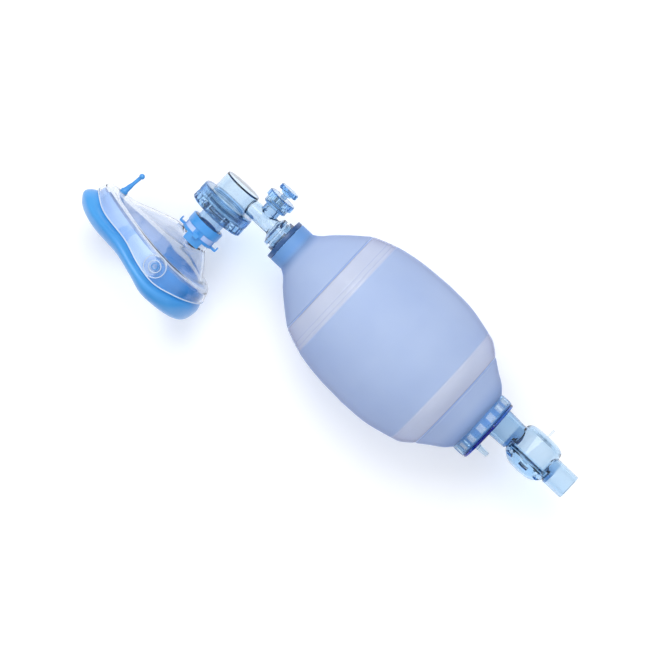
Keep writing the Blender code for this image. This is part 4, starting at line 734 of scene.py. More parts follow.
RESERVOIR_TUBE_RADIUS = 13.0 * MM
RESERVOIR_TUBE_BORE = 9.4 * MM
DRUM_RADIUS = 18.7 * MM
DRUM_WALL = 1.4 * MM
DRUM_HEIGHT = 18.6 * MM
DRUM_SKIRT = 7.2 * MM
DRUM_CROWN = [(0.5, 0.3), (0.8, 1.6), (0.96, 4.2), (1, 7.4)]
CONNECTOR_RADIUS = 11.0 * MM
CONNECTOR_BORE = 9.3 * MM
CAP_REACH = 20.9 * MM
CAP_START = 3.6 * MM
DRUM_WEB = 2.2 * MM


def crown(inset, steps=26):
    """The drum's domed top from its middle to its side, moved inwards by inset."""
    knots = [(0.05, 0)] + [(share, drop * MM) for share, drop in DRUM_CROWN]
    shares = [0.05 + 0.95 * math.sin(math.pi / 2 * i / steps) for i in range(steps + 1)]
    return [
        (max(share * DRUM_RADIUS - inset, 0), DRUM_HEIGHT - smooth_through(knots, min(share, 0.9999)) - inset)
        for share in shares
    ]


def build_reservoir():
    """Inlet tube, domed drum and end connector in one clear moulding."""
    size = Size("reservoir_chamber", tube)
    centre = drum_place.x - tube_place.x
    start = Size("tail_plate", tail).high + FIT_GAP
    spigot_radius = 10.8 * MM
    inner_end = centre - DRUM_RADIUS / 2
    outline = [
        (0, size.low), (spigot_radius, size.low), (spigot_radius, start), (RESERVOIR_TUBE_RADIUS, start),
        (RESERVOIR_TUBE_RADIUS - 0.8 * MM, start + 17 * MM), (RESERVOIR_TUBE_RADIUS - 0.8 * MM, inner_end),
        (0, inner_end),
    ]
    chamber = fine("reservoir_chamber", spun(rounded(outline, 0.6 * MM), tube), CLEAR, "bag")
    end = [(0, size.high), (CONNECTOR_RADIUS, size.high), (CONNECTOR_RADIUS, centre + DRUM_RADIUS / 2)]
    connector = tool("connector", spun(rounded(end + [(0, centre + DRUM_RADIUS / 2)], 0.5 * MM), tube))
    clearance = cylinder("clearance", drum, CAP_REACH, -40 * MM, -CAP_START)
    stem_bore = 1.2 * MM
    top = [(stem_bore, DRUM_HEIGHT)] + crown(0)[1:]
    body = tool("drum_body", spun(top + [(DRUM_RADIUS, -DRUM_SKIRT), (stem_bore, -DRUM_SKIRT)], drum))
    inside = [(0, DRUM_HEIGHT - DRUM_WALL)] + crown(DRUM_WALL)[2:]
    inside += [(DRUM_RADIUS - DRUM_WALL, -DRUM_SKIRT - MM), (0, -DRUM_SKIRT - MM)]
    cavity = tool("drum_cavity", spun(inside, drum))
    bore_end = centre - CAP_REACH - DRUM_WEB
    bore_start = centre + CAP_REACH + DRUM_WEB
    front = cylinder("front_bore", tube, RESERVOIR_TUBE_BORE, size.low - MM, bore_end)
    rear = cylinder("rear_bore", tube, CONNECTOR_BORE, bore_start, size.high + MM)
    through_web = (bore_end - DRUM_WEB, bore_start + DRUM_WEB)
    passage = cylinder("passage", tube, 5.8 * MM, *through_web, 64, (0, 2.9 * MM))
    carved(chamber, [connector], [clearance])
    carved(chamber, [body], [cavity, front, rear, passage])


VENT_CAP_BOWL = [(1, 0.25), (0.93, 0.5), (0.73, 0.76), (0.44, 0.94), (0, 1)]
VENT_CAP_WALL = 1.6 * MM
VENT_SLOTS = 6
VENT_SLOT_SIZE = (9.6 * MM, 8.5 * MM, 2.6 * MM)


def build_vent_cap():
    size = Size("vent_cap", drum)
    start, depth = size.high, size.length
    knots = [(down, share) for share, down in VENT_CAP_BOWL]
    downs = [0.25 + 0.75 * math.sin(math.pi / 2 * i / 20) for i in range(20)]
    outer = [(smooth_through(knots, down) * size.outer, start - down * depth) for down in downs]
    inner = [(max(radius - VENT_CAP_WALL, 0), height + VENT_CAP_WALL) for radius, height in outer[3:]]
    collar = DRUM_RADIUS + FIT_GAP
    ledge = -DRUM_SKIRT - FIT_GAP
    outline = [(collar, start), (size.outer, start)] + outer + [(0, size.low), (0, size.low + VENT_CAP_WALL)]
    outline += inner[::-1] + [(DRUM_RADIUS - DRUM_WALL, ledge), (collar, ledge)]
    cap = fine("vent_cap", spun(outline, drum), TINTED, "bag")
    place = Matrix.Translation((0.84 * size.outer, 0, start - 0.64 * depth))
    slant = Matrix.Rotation(math.radians(42), 4, "Y")
    cuts = []
    for i in range(VENT_SLOTS):
        turn = Matrix.Rotation(2 * math.pi * (i + 0.5) / VENT_SLOTS, 4, "Z")
        matrix = drum @ turn @ place @ slant
        cuts.append(box_tool(f"slot_{i}", matrix, VENT_SLOT_SIZE))
    carved(cap, cuts=cuts)


def build_tail_valves():
    """The soft discs and their seats, seen through the clear walls."""
    ring_piece("intake_disc", tail, SILICONE, "intake_valve", 0.2 * MM)
    ring_piece("relief_disc", drum, SILICONE, "relief_valve", 0.2 * MM)
    stem_piece("air_disc", drum, 0.7 * MM, 0.9 * MM, 0.25 * MM, SILICONE, "air_inlet_valve")
    ring_piece("mouth_gasket", tail, SEAL, "bag", 0.3 * MM)
    for node in ("intake_seat", "vent_seat"):
        frame["nodes"][node].material_slots[0].material = CLEAR


# ---------------------------------------------------------------- elbow valve

INLET_RISE = 1.2 * MM
INLET_TUBE_RADIUS = 7.2 * MM
INLET_TUBE_BORE = 5.7 * MM
INLET_FLANGE_RADIUS = 12.4 * MM
CUP_RADIUS = 16.5 * MM
CUP_WALL = 1.6 * MM
CUP_FLANGE_RADIUS = 21.0 * MM
RELEASE_BOSS_RADIUS = 7.4 * MM
RELEASE_BOSS_BORE = 4.0 * MM
RELEASE_SEAT = 15.5 * MM
PORT_RADIUS = 3.4 * MM
PORT_HEIGHT = 7.9 * MM


def circle(radius, station, rise=0.0, sides=ROUND):
    """A ring of points round the spigot's axis, raised by rise."""
    return [
        spigot @ Vector((radius * math.cos(angle), radius * math.sin(angle) + rise, station))
        for angle in turns(sides)
    ]


def build_elbow():
    """The elbow's cup, inlet tube, flare and spigot with the release valve's boss and the pressure port."""
    flange_low, flange_high = 9.2 * MM, 10.6 * MM
    cup_low = -10.4 * MM
    outline = [
        (0, cup_low), (CUP_RADIUS, cup_low), (CUP_RADIUS, flange_low), (CUP_FLANGE_RADIUS, flange_low),
        (CUP_FLANGE_RADIUS, flange_high), (0, flange_high),
    ]
    cup = spun(rounded(outline, 0.9 * MM, 4), patient, FINE)
    elbow = fine("valve_housing", cup, VALVE_CLEAR, "valve", "elbow_fine")
    collar_start = Size("swivel_socket", neck).low
    flange_end = collar_start - 2.0 * MM
    flange_start = flange_end - 3.2 * MM
    flare_start = flange_start - 4.1 * MM
    tube_start = PATIENT_PLACE.x - NECK_PLACE.x + CUP_RADIUS / 2
    spigot_radius = 11.0 * MM
    seal_groove = (-3.6 * MM, -1.2 * MM)
    spigot_end = 4.4 * MM
    flare = [
        circle(
            INLET_TUBE_RADIUS + (INLET_FLANGE_RADIUS - INLET_TUBE_RADIUS) * (1 - math.cos(t * math.pi / 2)),
            flare_start + (flange_start - flare_start) * t,
            INLET_RISE * (1 - t),
        )
        for t in [i / 10 for i in range(11)]
    ]
    inlet = [circle(INLET_TUBE_RADIUS, tube_start, INLET_RISE)] + flare
    inlet += [
        circle(INLET_FLANGE_RADIUS, flange_end - 0.4 * MM),
        circle(INLET_FLANGE_RADIUS - 0.4 * MM, flange_end),
        circle(spigot_radius, flange_end),
        circle(spigot_radius, seal_groove[0]),
        circle(spigot_radius - 1.25 * MM, seal_groove[0]),
        circle(spigot_radius - 1.25 * MM, seal_groove[1]),
        circle(spigot_radius, seal_groove[1]),
        circle(spigot_radius, spigot_end - 0.5 * MM),
        circle(spigot_radius - 0.5 * MM, spigot_end),
    ]
    bore = [
        circle(INLET_TUBE_BORE, tube_start - CUP_RADIUS / 4, INLET_RISE),
        circle(INLET_TUBE_BORE, flare_start, INLET_RISE),
        circle(9.0 * MM, flange_start),
        circle(9.0 * MM, spigot_end + MM),
    ]
    boss = cylinder("boss", release, RELEASE_BOSS_RADIUS, INLET_RISE, RELEASE_SEAT)
    port_axis = facing(release_place + TO_RELEASE * INLET_RISE, patient.to_3x3().col[1], ALONG_BAG)
    side = [(0, 0), (PORT_RADIUS, 0), (PORT_RADIUS, PORT_HEIGHT), (0, PORT_HEIGHT)]
    port = tool("port", spun(rounded(side, 0.4 * MM), port_axis, 48))
    dimple = cylinder("dimple", port_axis, 2.2 * MM, 7.4 * MM, 9 * MM, 48)
    inner = CUP_RADIUS - CUP_WALL
    top, bottom = flange_high + MM, cup_low + CUP_WALL
    side = [(0, top), (inner, top), (inner, bottom), (0, bottom)]
    cup_bore = tool("cup_bore", spun(rounded(side, 0.8 * MM), patient, FINE))
    release_bore = cylinder("release_bore", release, RELEASE_BOSS_BORE, INLET_RISE, RELEASE_SEAT + MM, 64)
    unions = [tool("inlet", lofted(inlet)), boss, port]
    carved(elbow, unions, [cup_bore, tool("bore", lofted(bore)), release_bore, dimple])


NUT_FINE_RIBS = 90
NUT_BLOCKS = 24


def build_ring_nut():
    """A band of fine ribs on the cup's side, a groove, and a band of wider blocks on the mask's side."""
    size = Size("ring_nut", patient)
    split = size.low + 0.56 * size.length
    lip_bore, nut_bore = size.bore, 21.5 * MM
    vent_bore = 17.5 * MM
    lip = 1.6 * MM

    def ribbed(angle, radius, station):
        if radius < size.outer - MM:
            return radius
        low, high = size.low + 1.6 * MM, size.high - 1.4 * MM
        inside = within(station, low, high, 0.3 * MM, 0.3 * MM)
        groove = math.exp(-(((station - split) / (0.7 * MM)) ** 2))
        if station < split:
            rib = 0.55 * MM * wave(angle, NUT_FINE_RIBS)
        else:
            rib = 0.9 * MM * wave(angle, NUT_BLOCKS, 4)
        return radius - rib * inside - 0.8 * MM * groove

    side = [size.low + 0.6 * MM + (size.length - 1.2 * MM) * i / 36 for i in range(37)]
    outline = [(lip_bore, size.low), (size.outer - 0.6 * MM, size.low)]
    outline += [(size.outer, station) for station in side]
    outline += [
        (size.outer - 0.6 * MM, size.high),
        (vent_bore, size.high),
        (vent_bore, size.high - lip),
        (nut_bore, size.high - lip),
        (nut_bore, size.low + lip),
        (lip_bore, size.low + lip),
    ]
    fine("ring_nut", spun(outline, patient, 720, ribbed), TINTED, "valve")


EXHAUST_HOLES = 8
EXHAUST_CIRCLE = 17.0 * MM


def build_port():
    """Exhaust plate, valve cup and the conical tube that the mask fits on."""
    size = Size("patient_port", patient)
    nut_end = Size("ring_nut", patient).high
    plate_end = size.low + 2.0 * MM
    cup_end = size.low + 9.3 * MM
    lip_end = nut_end + 2.0 * MM
    cup_bore, cup_radius = 11.6 * MM, 13.1 * MM
    outline = [
        (cup_bore, size.low), (size.outer, size.low), (size.outer, plate_end), (cup_radius, plate_end),
        (cup_radius, cup_end), (14.5 * MM, nut_end), (14.5 * MM, lip_end), (11.0 * MM, lip_end),
        (10.8 * MM, size.high), (size.bore, size.high), (size.bore, cup_end + 0.5 * MM),
        (cup_bore, cup_end - MM),
    ]
    port = fine("patient_port", spun(rounded(outline, 0.4 * MM), patient), VALVE_CLEAR, "valve")
    holes = []
    for i, a in enumerate(turns(EXHAUST_HOLES)):
        middle = (EXHAUST_CIRCLE * math.cos(a), EXHAUST_CIRCLE * math.sin(a))
        hole = cylinder(f"exhaust_{i}", patient, 1.9 * MM, size.low - MM, plate_end + MM, 32, middle)
        holes.append(hole)
    carved(port, cuts=holes)
    ring_piece("exhaust_flap", patient, SILICONE, "exhaust_valve", 0.2 * MM)


def build_lip_valve():
    size = Size("lip_valve", patient)
    rim_end = size.low + 1.1 * MM
    depth, mouth, wall = size.high - rim_end, 11.0 * MM, 0.8 * MM
    angles = [math.pi / 2 * i / 16 for i in range(17)]
    dome = [(mouth * math.cos(a) ** 0.7 if a < 1.57 else 0, rim_end + depth * math.sin(a)) for a in angles]
    inside = [(max(r - wall, 0), z - wall * (z - rim_end) / depth) for r, z in dome]
    outline = [(size.outer, size.low), (size.outer, rim_end)] + dome + inside[::-1]
    outline.append((mouth - wall, size.low))
    valve = fine("lip_valve", spun(outline, patient), SILICONE, "valve")
    tip = patient @ Matrix.Translation((0, 0, size.high))
    slit = box_tool("lip_slit", tip, (16.5 * MM, 0.6 * MM, 3.5 * MM))
    carved(valve, cuts=[slit])
    frame["nodes"]["swivel_seal"].material_slots[0].material = SEAL


# ---------------------------------------------------------------- pressure release valve


def build_release():
    cap = Size("release_cap", release)
    lip_low = 18.9 * MM
    body_radius, cavity, stem_bore = 10.5 * MM, 9.0 * MM, 2.8 * MM
    ceiling = cap.high - 1.5 * MM

    def ribbed(angle, radius, station):
        if radius > body_radius + 0.5 * MM:
            fade = step_up(cap.high - 0.4 * MM - station, 0, 0.5 * MM)
            return radius - 0.7 * MM * wave(angle, 20, 1.5) * fade
        if radius > cavity + MM and station > cap.low + MM:
            return radius - 0.3 * MM * wave(angle, 40)
        return radius

    sides = [lip_low + (cap.high - 0.5 * MM - lip_low) * i / 8 for i in range(9)]
    base_bore, floor = cap.bore + 4.9 * MM, RELEASE_SEAT + 0.5 * MM
    outline = [(base_bore, cap.low), (body_radius - 0.5 * MM, cap.low), (body_radius, cap.low + 0.5 * MM)]
    outline += [(body_radius, lip_low)] + [(cap.outer, station) for station in sides]
    outline += [(cap.outer - 0.5 * MM, cap.high), (stem_bore, cap.high), (stem_bore, ceiling)]
    outline += [(cavity, ceiling), (cavity, floor), (base_bore, floor)]
    fine("release_cap", spun(outline, release, 240, ribbed), TINTED, "valve")

    knob = Size("release_knob", release)
    disc = knob.low + 2.0 * MM
    ceiling = knob.high - 1.4 * MM

    def lobed(angle, radius, station):
        if radius < knob.outer - 1.2 * MM:
            return radius
        return radius - 0.9 * MM * wave(angle, 8, 1.2)

    side = [disc + 0.5 * MM + (knob.high - disc - MM) * i / 6 for i in range(7)]
    outline = [(stem_bore, knob.low), (4.7 * MM, knob.low), (4.7 * MM, disc), (knob.outer - 0.5 * MM, disc)]
    outline += [(knob.outer, station) for station in side]
    outline += [(knob.outer - 0.5 * MM, knob.high), (0, knob.high), (0, ceiling), (stem_bore, ceiling)]
    fine("release_knob", spun(outline, release, 160, lobed), TINTED, "pressure_release")

    disc_top = stem_piece("release_plunger", release, 1.3 * MM, 2.5 * MM, 0.3 * MM, CLEAR, "pressure_release")
    frame["nodes"]["release_seal"].material_slots[0].material = SEAL
    build_spring(disc_top, cap.high - 1.5 * MM)


SPRING_WIRE = 0.35 * MM
SPRING_COIL = 4.6 * MM
SPRING_TURNS = 5


def build_spring(bottom, top):
    """The coil between the plunger's disc and the cap's ceiling, with flat end turns."""
    low, high = bottom + FIT_GAP + SPRING_WIRE, top - FIT_GAP - SPRING_WIRE
    steps = SPRING_TURNS * 48
    rings = []
    for i in range(steps + 1):
        share = i / steps
        turn = 2 * math.pi * SPRING_TURNS * share
        height = low + (high - low) * step_up(share, -0.1, 1.1)
        out = Vector((math.cos(turn), math.sin(turn), 0))
        centre = out * SPRING_COIL + Vector((0, 0, height))
        across = [(out * math.cos(a) + Vector((0, 0, math.sin(a)))) * SPRING_WIRE for a in turns(12)]
        rings.append([release @ (centre + step) for step in across])
    spring = fine("release_spring", lofted(rings), STEEL, "valve")
    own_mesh(spring)


# ---------------------------------------------------------------- mask

MASK_SIDES = 144
MASK_NOSE = 84.5 * MM
MASK_CHIN = 39.8 * MM
MASK_HALF_WIDTH = 46.0 * MM
MASK_TAPER = 0.35
MASK_WALL = 1.5 * MM
MASK_NECK_TOP = 31.9 * MM
MASK_NECK_RADIUS = 13.0 * MM
MASK_NECK_BORE = 11.3 * MM
DOME_SMOOTH_ANGLE = math.radians(50)
MASK_NECK_FOOT = (47.4, 56.5, 51.5)
MASK_SHOULDER = (62.5, 68.5, 72.0)
# Knots of the cone: nose, chin, half width, taper, then the heights at nose, side and chin.
MASK_CONE = [
    (13, 13, 13, 0, 47.4, 56.5, 51.5), (23, 15.6, 17, 0.05, 48.8, 58.5, 54),
    (40, 21, 25.5, 0.15, 54.2, 62, 61), (58.5, 27.3, 34, 0.25, 60.6, 66, 69.5),
    (78.7, 34, 40.2, 0.35, 62.5, 68.5, 72),
]
MASK_SEAM = [(0, 72.9), (0.13, 80), (0.37, 82.4), (0.54, 88.4), (0.69, 91.2), (0.83, 88.5), (1, 83.8)]
MASK_FACE = [(0, 95.5), (0.13, 96.6), (0.37, 96.4), (0.54, 100.4), (0.69, 105.5), (0.83, 106.4), (1, 107)]


def pear(nose, chin, half_width, taper, heights, sides=MASK_SIDES):
    """A pear-shaped ring in the patient frame, nose at -X and chin at +X."""
    angles = [math.pi * i / 180 for i in range(180)]
    widest = max(math.sin(a) * (1 + taper * math.cos(a)) for a in angles)
    ring = []
    for a in turns(sides):
        x = (chin - nose) / 2 + (chin + nose) / 2 * math.cos(a)
        y = half_width * math.sin(a) * (1 + taper * math.cos(a)) / widest
        ring.append(Vector((x, y, heights((1 + math.cos(a)) / 2))))
    return ring


def through(knots):
    """A function of the share of the way from nose to chin, through (share, millimetres) knots."""
    scaled = [(place, height * MM) for place, height in knots]
    return lambda share: smooth_through(scaled, share)


def three_points(nose, side, chin):
    return through([(0, nose), (0.5, side), (1, chin)])


seam_height = through(MASK_SEAM)
face_height = through(MASK_FACE)
shoulder_height = three_points(*MASK_SHOULDER)


def inset_pear(inset, heights, sides=MASK_SIDES):
    return pear(MASK_NOSE - inset, MASK_CHIN - inset, MASK_HALF_WIDTH - inset, MASK_TAPER, heights, sides)


def cone_ring(place, wall):
    """One ring of the cone; place runs from 0 at the neck's foot to 4 at the shoulder."""
    values = [smooth_through([(i, knot[k]) for i, knot in enumerate(MASK_CONE)], place) for k in range(7)]
    nose, chin, half_width = (value * MM - wall for value in values[:3])
    heights = three_points(*values[4:])
    return pear(nose, chin, half_width, values[3], lambda share: heights(share) + wall)


def dome_side(wall):
    """Rings from the neck's top to the seam. wall is 0 outside, and the wall's thickness inside."""
    neck_radius = MASK_NECK_RADIUS if wall == 0 else MASK_NECK_BORE
    foot = three_points(*MASK_NECK_FOOT)
    rings = []
    for t in (0, 0.03, 0.5, 0.9):
        heights = lambda s, t=t: MASK_NECK_TOP + t * (foot(s) - MASK_NECK_TOP)
        rings.append(pear(neck_radius, neck_radius, neck_radius, 0, heights))
    rings += [cone_ring(0.1 + 3.8 * i / 28, wall) for i in range(29)]
    for inset, drop in ((5.8, 0.0), (4.6, 0.35), (3.4, 1.2), (2.6, 2.3), (2.2, 3.5)):
        heights = lambda s, d=drop: shoulder_height(s) + d * MM + wall * (1 - d / 5)
        rings.append(inset_pear(inset * MM + wall, heights))
    for i in range(1, 13):
        t = i / 12
        inset = 2.2 * MM * (1 - t) ** 1.5 + wall
        rings.append(
            inset_pear(inset, lambda s, t=t: (shoulder_height(s) + 3.5 * MM) * (1 - t) + seam_height(s) * t)
        )
    return rings


def in_place(ring):
    return [patient @ point for point in ring]


def build_dome():
    rings = dome_side(0) + dome_side(MASK_WALL)[::-1]
    mesh = lofted([in_place(ring) for ring in rings], closed=True)
    dome = fine("mask_dome", mesh, MASK_CLEAR, "mask", sharp=DOME_SMOOTH_ANGLE)
    hole = cylinder("fill_hole", fill, Size("fill_stem", fill).outer + 0.4 * MM, -20 * MM, 20 * MM, 48)
    carved(dome, cuts=[hole], sharp=DOME_SMOOTH_ANGLE)


def tube_along(centres, radius, sides=10):
    """Rings of a closed tube of that radius round a closed line of points."""
    count = len(centres)
    rings = []
    for i in range(count):
        ahead = (centres[(i + 1) % count] - centres[i - 1]).normalized()
        side = ahead.cross(Vector((0, 0, 1))).normalized()
        up = side.cross(ahead)
        rings.append([centres[i] + (side * math.cos(a) + up * math.sin(a)) * radius for a in turns(sides)])
    return rings


def build_seam():
    """The rolled edge where the skirt is welded to the cushion: clear plastic coloured near white as a
    painted highlight.
    """
    line = inset_pear(-0.1 * MM, lambda s: seam_height(s) - 0.2 * MM)
    rings = [in_place(ring) for ring in tube_along(line, 0.5 * MM)]
    piece("mask_seam_edge", lofted(rings, closed=True), PAINTED_SEAM_HIGHLIGHT, "mask")


# Cushion section: share of the bulge, inset in millimetres and share of the way from seam to face.
CUSHION_SECTION = [(0.55, 0, 0.2), (1, 0, 0.45), (0.45, 1.5, 0.8), (0, 5.5, 0.97)]
CUSHION_SECTION += [(0, 10.5, 1), (0, 17, 0.86)]
NOSE_BULGE, CHIN_BULGE = 7.6 * MM, 1.0 * MM
INSIDE_SKIRT = MASK_WALL + 0.5 * MM
CUSHION_WIDTH = 22.5 * MM
CUSHION_SIDES = 112
PUFF = 2.5 * MM
CROWN_DEPTH = 3.2 * MM


def cushion_rings(sides):
    def bulge(share):
        return NOSE_BULGE + (CHIN_BULGE - NOSE_BULGE) * share

    def between(down):
        return lambda share: seam_height(share) + down * (face_height(share) - seam_height(share))

    def under(extra):
        return lambda share: shoulder_height(share) + INSIDE_SKIRT + extra

    def bulged(outwards, inset, heights):
        nose = MASK_NOSE + outwards * bulge(0) - inset
        chin = MASK_CHIN + outwards * bulge(1) - inset
        return pear(nose, chin, MASK_HALF_WIDTH + outwards * bulge(0.6) - inset, MASK_TAPER, heights, sides)

    rings = [
        inset_pear(INSIDE_SKIRT + 2.4 * MM, under(3 * MM), sides),
        inset_pear(INSIDE_SKIRT + FIT_GAP, lambda s: (under(3 * MM)(s) + seam_height(s)) / 2, sides),
        inset_pear(INSIDE_SKIRT + FIT_GAP, lambda s: seam_height(s) + 0.5 * MM, sides),
    ]
    rings += [bulged(outwards, inset * MM, between(down)) for outwards, inset, down in CUSHION_SECTION]
    rings += [
        bulged(0, CUSHION_WIDTH - MM, between(0.45)),
        bulged(0, CUSHION_WIDTH, between(-0.15)),
        inset_pear(CUSHION_WIDTH - 2.5 * MM, under(3 * MM), sides),
        inset_pear(INSIDE_SKIRT + 11.5 * MM, under(0), sides),
        inset_pear(INSIDE_SKIRT + 5.5 * MM, under(0), sides),
    ]
    return rings


def closed_spline(points, steps):
    """Catmull-Rom points round a closed line."""
    out = []
    count = len(points)
    for i in range(count):
        a, b, c, d = (points[(i + k - 1) % count] for k in range(4))
        for step in range(steps):
            t = step / steps
            bend = (2 * a - 5 * b + 4 * c - d) * t * t
            out.append(0.5 * ((2 * b) + (c - a) * t + bend + (3 * b - a - 3 * c + d) * t**3))
    return out


def inflate(thing, held, most):
    """Blow the closed skin up as cloth. The held points are pinned, and no point moves more than most."""
    rest = [vertex.co.copy() for vertex in thing.data.vertices]
    group = thing.vertex_groups.new(name="held")
    group.add(held, 1.0, "REPLACE")
    cloth = thing.modifiers.new("inflate", "CLOTH")
    settings = cloth.settings
    settings.quality = 6
    settings.mass = 0.2
    settings.tension_stiffness = 30
    settings.compression_stiffness = 30
    settings.bending_stiffness = 2
    settings.use_pressure = True
    settings.uniform_pressure_force = 4
    settings.vertex_group_mass = "held"
    settings.effector_weights.gravity = 0
    cloth.collision_settings.use_collision = False
    scene = bpy.context.scene
    for number in range(1, 21):
        scene.frame_set(number)
    graph = bpy.context.evaluated_depsgraph_get()
    blown = [vertex.co.copy() for vertex in thing.evaluated_get(graph).data.vertices]
    thing.modifiers.remove(cloth)
    scene.frame_set(1)
    for vertex, start, end in zip(thing.data.vertices, rest, blown):
        move = end - start
        if move.length > most:
            move *= most / move.length
        vertex.co = start + move


def share_along(x):
    """The share of the way from nose to chin at x in the patient frame."""
    return min(0.999, max(0, (x + MASK_NOSE) / (MASK_NOSE + MASK_CHIN)))


def build_cushion():
    """The inflated ring: blown up below the seam, held inside the skirt, and flat where it lies down."""
    sections = list(zip(*[in_place(ring) for ring in cushion_rings(CUSHION_SIDES)]))
    rings = [closed_spline(list(section), 3) for section in sections]
    mesh = lofted(rings, closed=True)
    cushion = fine("mask_cushion", mesh, VINYL, "mask", "cushion_fine", math.pi)
    into = patient.inverted()
    held = []
    for vertex in cushion.data.vertices:
        local = into @ vertex.co
        if local.z < seam_height(share_along(local.x)) + 1.5 * MM:
            held.append(vertex.index)
    inflate(cushion, held, PUFF)
    floor = cad_low.z + 0.1 * MM
    for vertex in cushion.data.vertices:
        vertex.co.z = max(vertex.co.z, floor)
    cushion.data.materials.append(VINYL_UNDER_SKIRT)
    cushion.data.materials.append(VINYL_CROWN)
    for face in cushion.data.polygons:
        local = into @ face.center
        share = share_along(local.x)
        inwards = (into.to_3x3() @ face.normal).dot(Vector((local.x, local.y, 0)).normalized()) < -0.4
        if inwards or local.z < shoulder_height(share) + INSIDE_SKIRT + CROWN_DEPTH:
            face.material_index = 2
        elif local.z < seam_height(share) - 0.3 * MM:
            face.material_index = 1
    smooth = cushion.modifiers.new("smooth", "SUBSURF")
    smooth.levels = smooth.render_levels = 1


def build_fill():
    """The tapered blue tail with its ball-headed plug."""
    size = Size("fill_stem", fill)
    bore = size.bore
    length = size.high
    knots = [(0, 3.25), (0.16, 3.2), (0.2, 2.6), (0.45, 2.05), (0.62, 1.6), (1, 1.6)]
    shares = [i / 40 for i in range(40)] + [0.9999]
    side = [(smooth_through(knots, share) * MM, share * length) for share in shares]
    outline = [(bore, size.low), (3.25 * MM, size.low)] + side + [(bore, length)]
    fine("fill_stem", spun(outline, fill, 64), BLUE, "mask")
    plug = Size("fill_plug", fill)
    ball = plug.outer
    centre = plug.high - ball
    neck_radius = 1.6 * MM
    start = math.asin(neck_radius / ball)
    angles = [start + (math.pi - start) * i / 20 for i in range(20)]
    outline = [(0, plug.low), (0.7 * MM, plug.low), (0.7 * MM, length + FIT_GAP)]
    outline += [(ball * math.sin(a), centre - ball * math.cos(a)) for a in angles] + [(0, plug.high)]
    fine("fill_plug", spun(outline, fill, 64), BLUE, "mask")


BOSS_LINE = 0.35 * MM
# The white lines round the boss are painted highlights on the clear rings.
BOSS_LINES = ((9.2 * MM, 1.3 * MM, PAINTED_SEAM_HIGHLIGHT), (5.0 * MM, 1.8 * MM, PAINTED_SEAM_HIGHLIGHT), (2.6 * MM, 1.2 * MM, BLUE))


def build_boss():
    """Concentric rings moulded on the skirt's side; the two outer lines are a painted highlight."""
    level, reach = 80 * MM, -5.2 * MM
    ring = inset_pear(0, lambda s: level)
    nearest = min((point for point in ring if point.y > 0), key=lambda point: abs(point.x - reach))
    out = Vector((0, 1, 0))
    axis = patient @ facing(nearest - out * 0.8 * MM, out, (1, 0, 0))
    outline = [(0, 0), (10 * MM, 0), (10 * MM, 1.0 * MM), (9.2 * MM, 1.5 * MM), (8.4 * MM, 1.0 * MM)]
    outline += [(6.3 * MM, 1.0 * MM), (5.5 * MM, 1.9 * MM), (4.6 * MM, 1.9 * MM), (3.8 * MM, 1.1 * MM)]
    outline += [(2.2 * MM, 1.1 * MM), (1.5 * MM, 1.7 * MM), (0, 1.8 * MM)]
    piece("mask_boss", spun(rounded(outline, 0.3 * MM), axis), MASK_CLEAR, "mask")
    for i, (radius, rise, material) in enumerate(BOSS_LINES):
        line = [(radius + BOSS_LINE * math.cos(t), rise + BOSS_LINE * math.sin(t)) for t in turns(12)]
        rings = [[axis @ polar(r, angle, z) for r, z in line] for angle in turns(ROUND)]
        piece(f"mask_boss_line_{i}", lofted(rings, closed=True), material, "mask")


HOOK_REACH = 19.5 * MM
HOOK_WIDTH = 4.6 * MM
HOOK_THICKNESS = 2.4 * MM


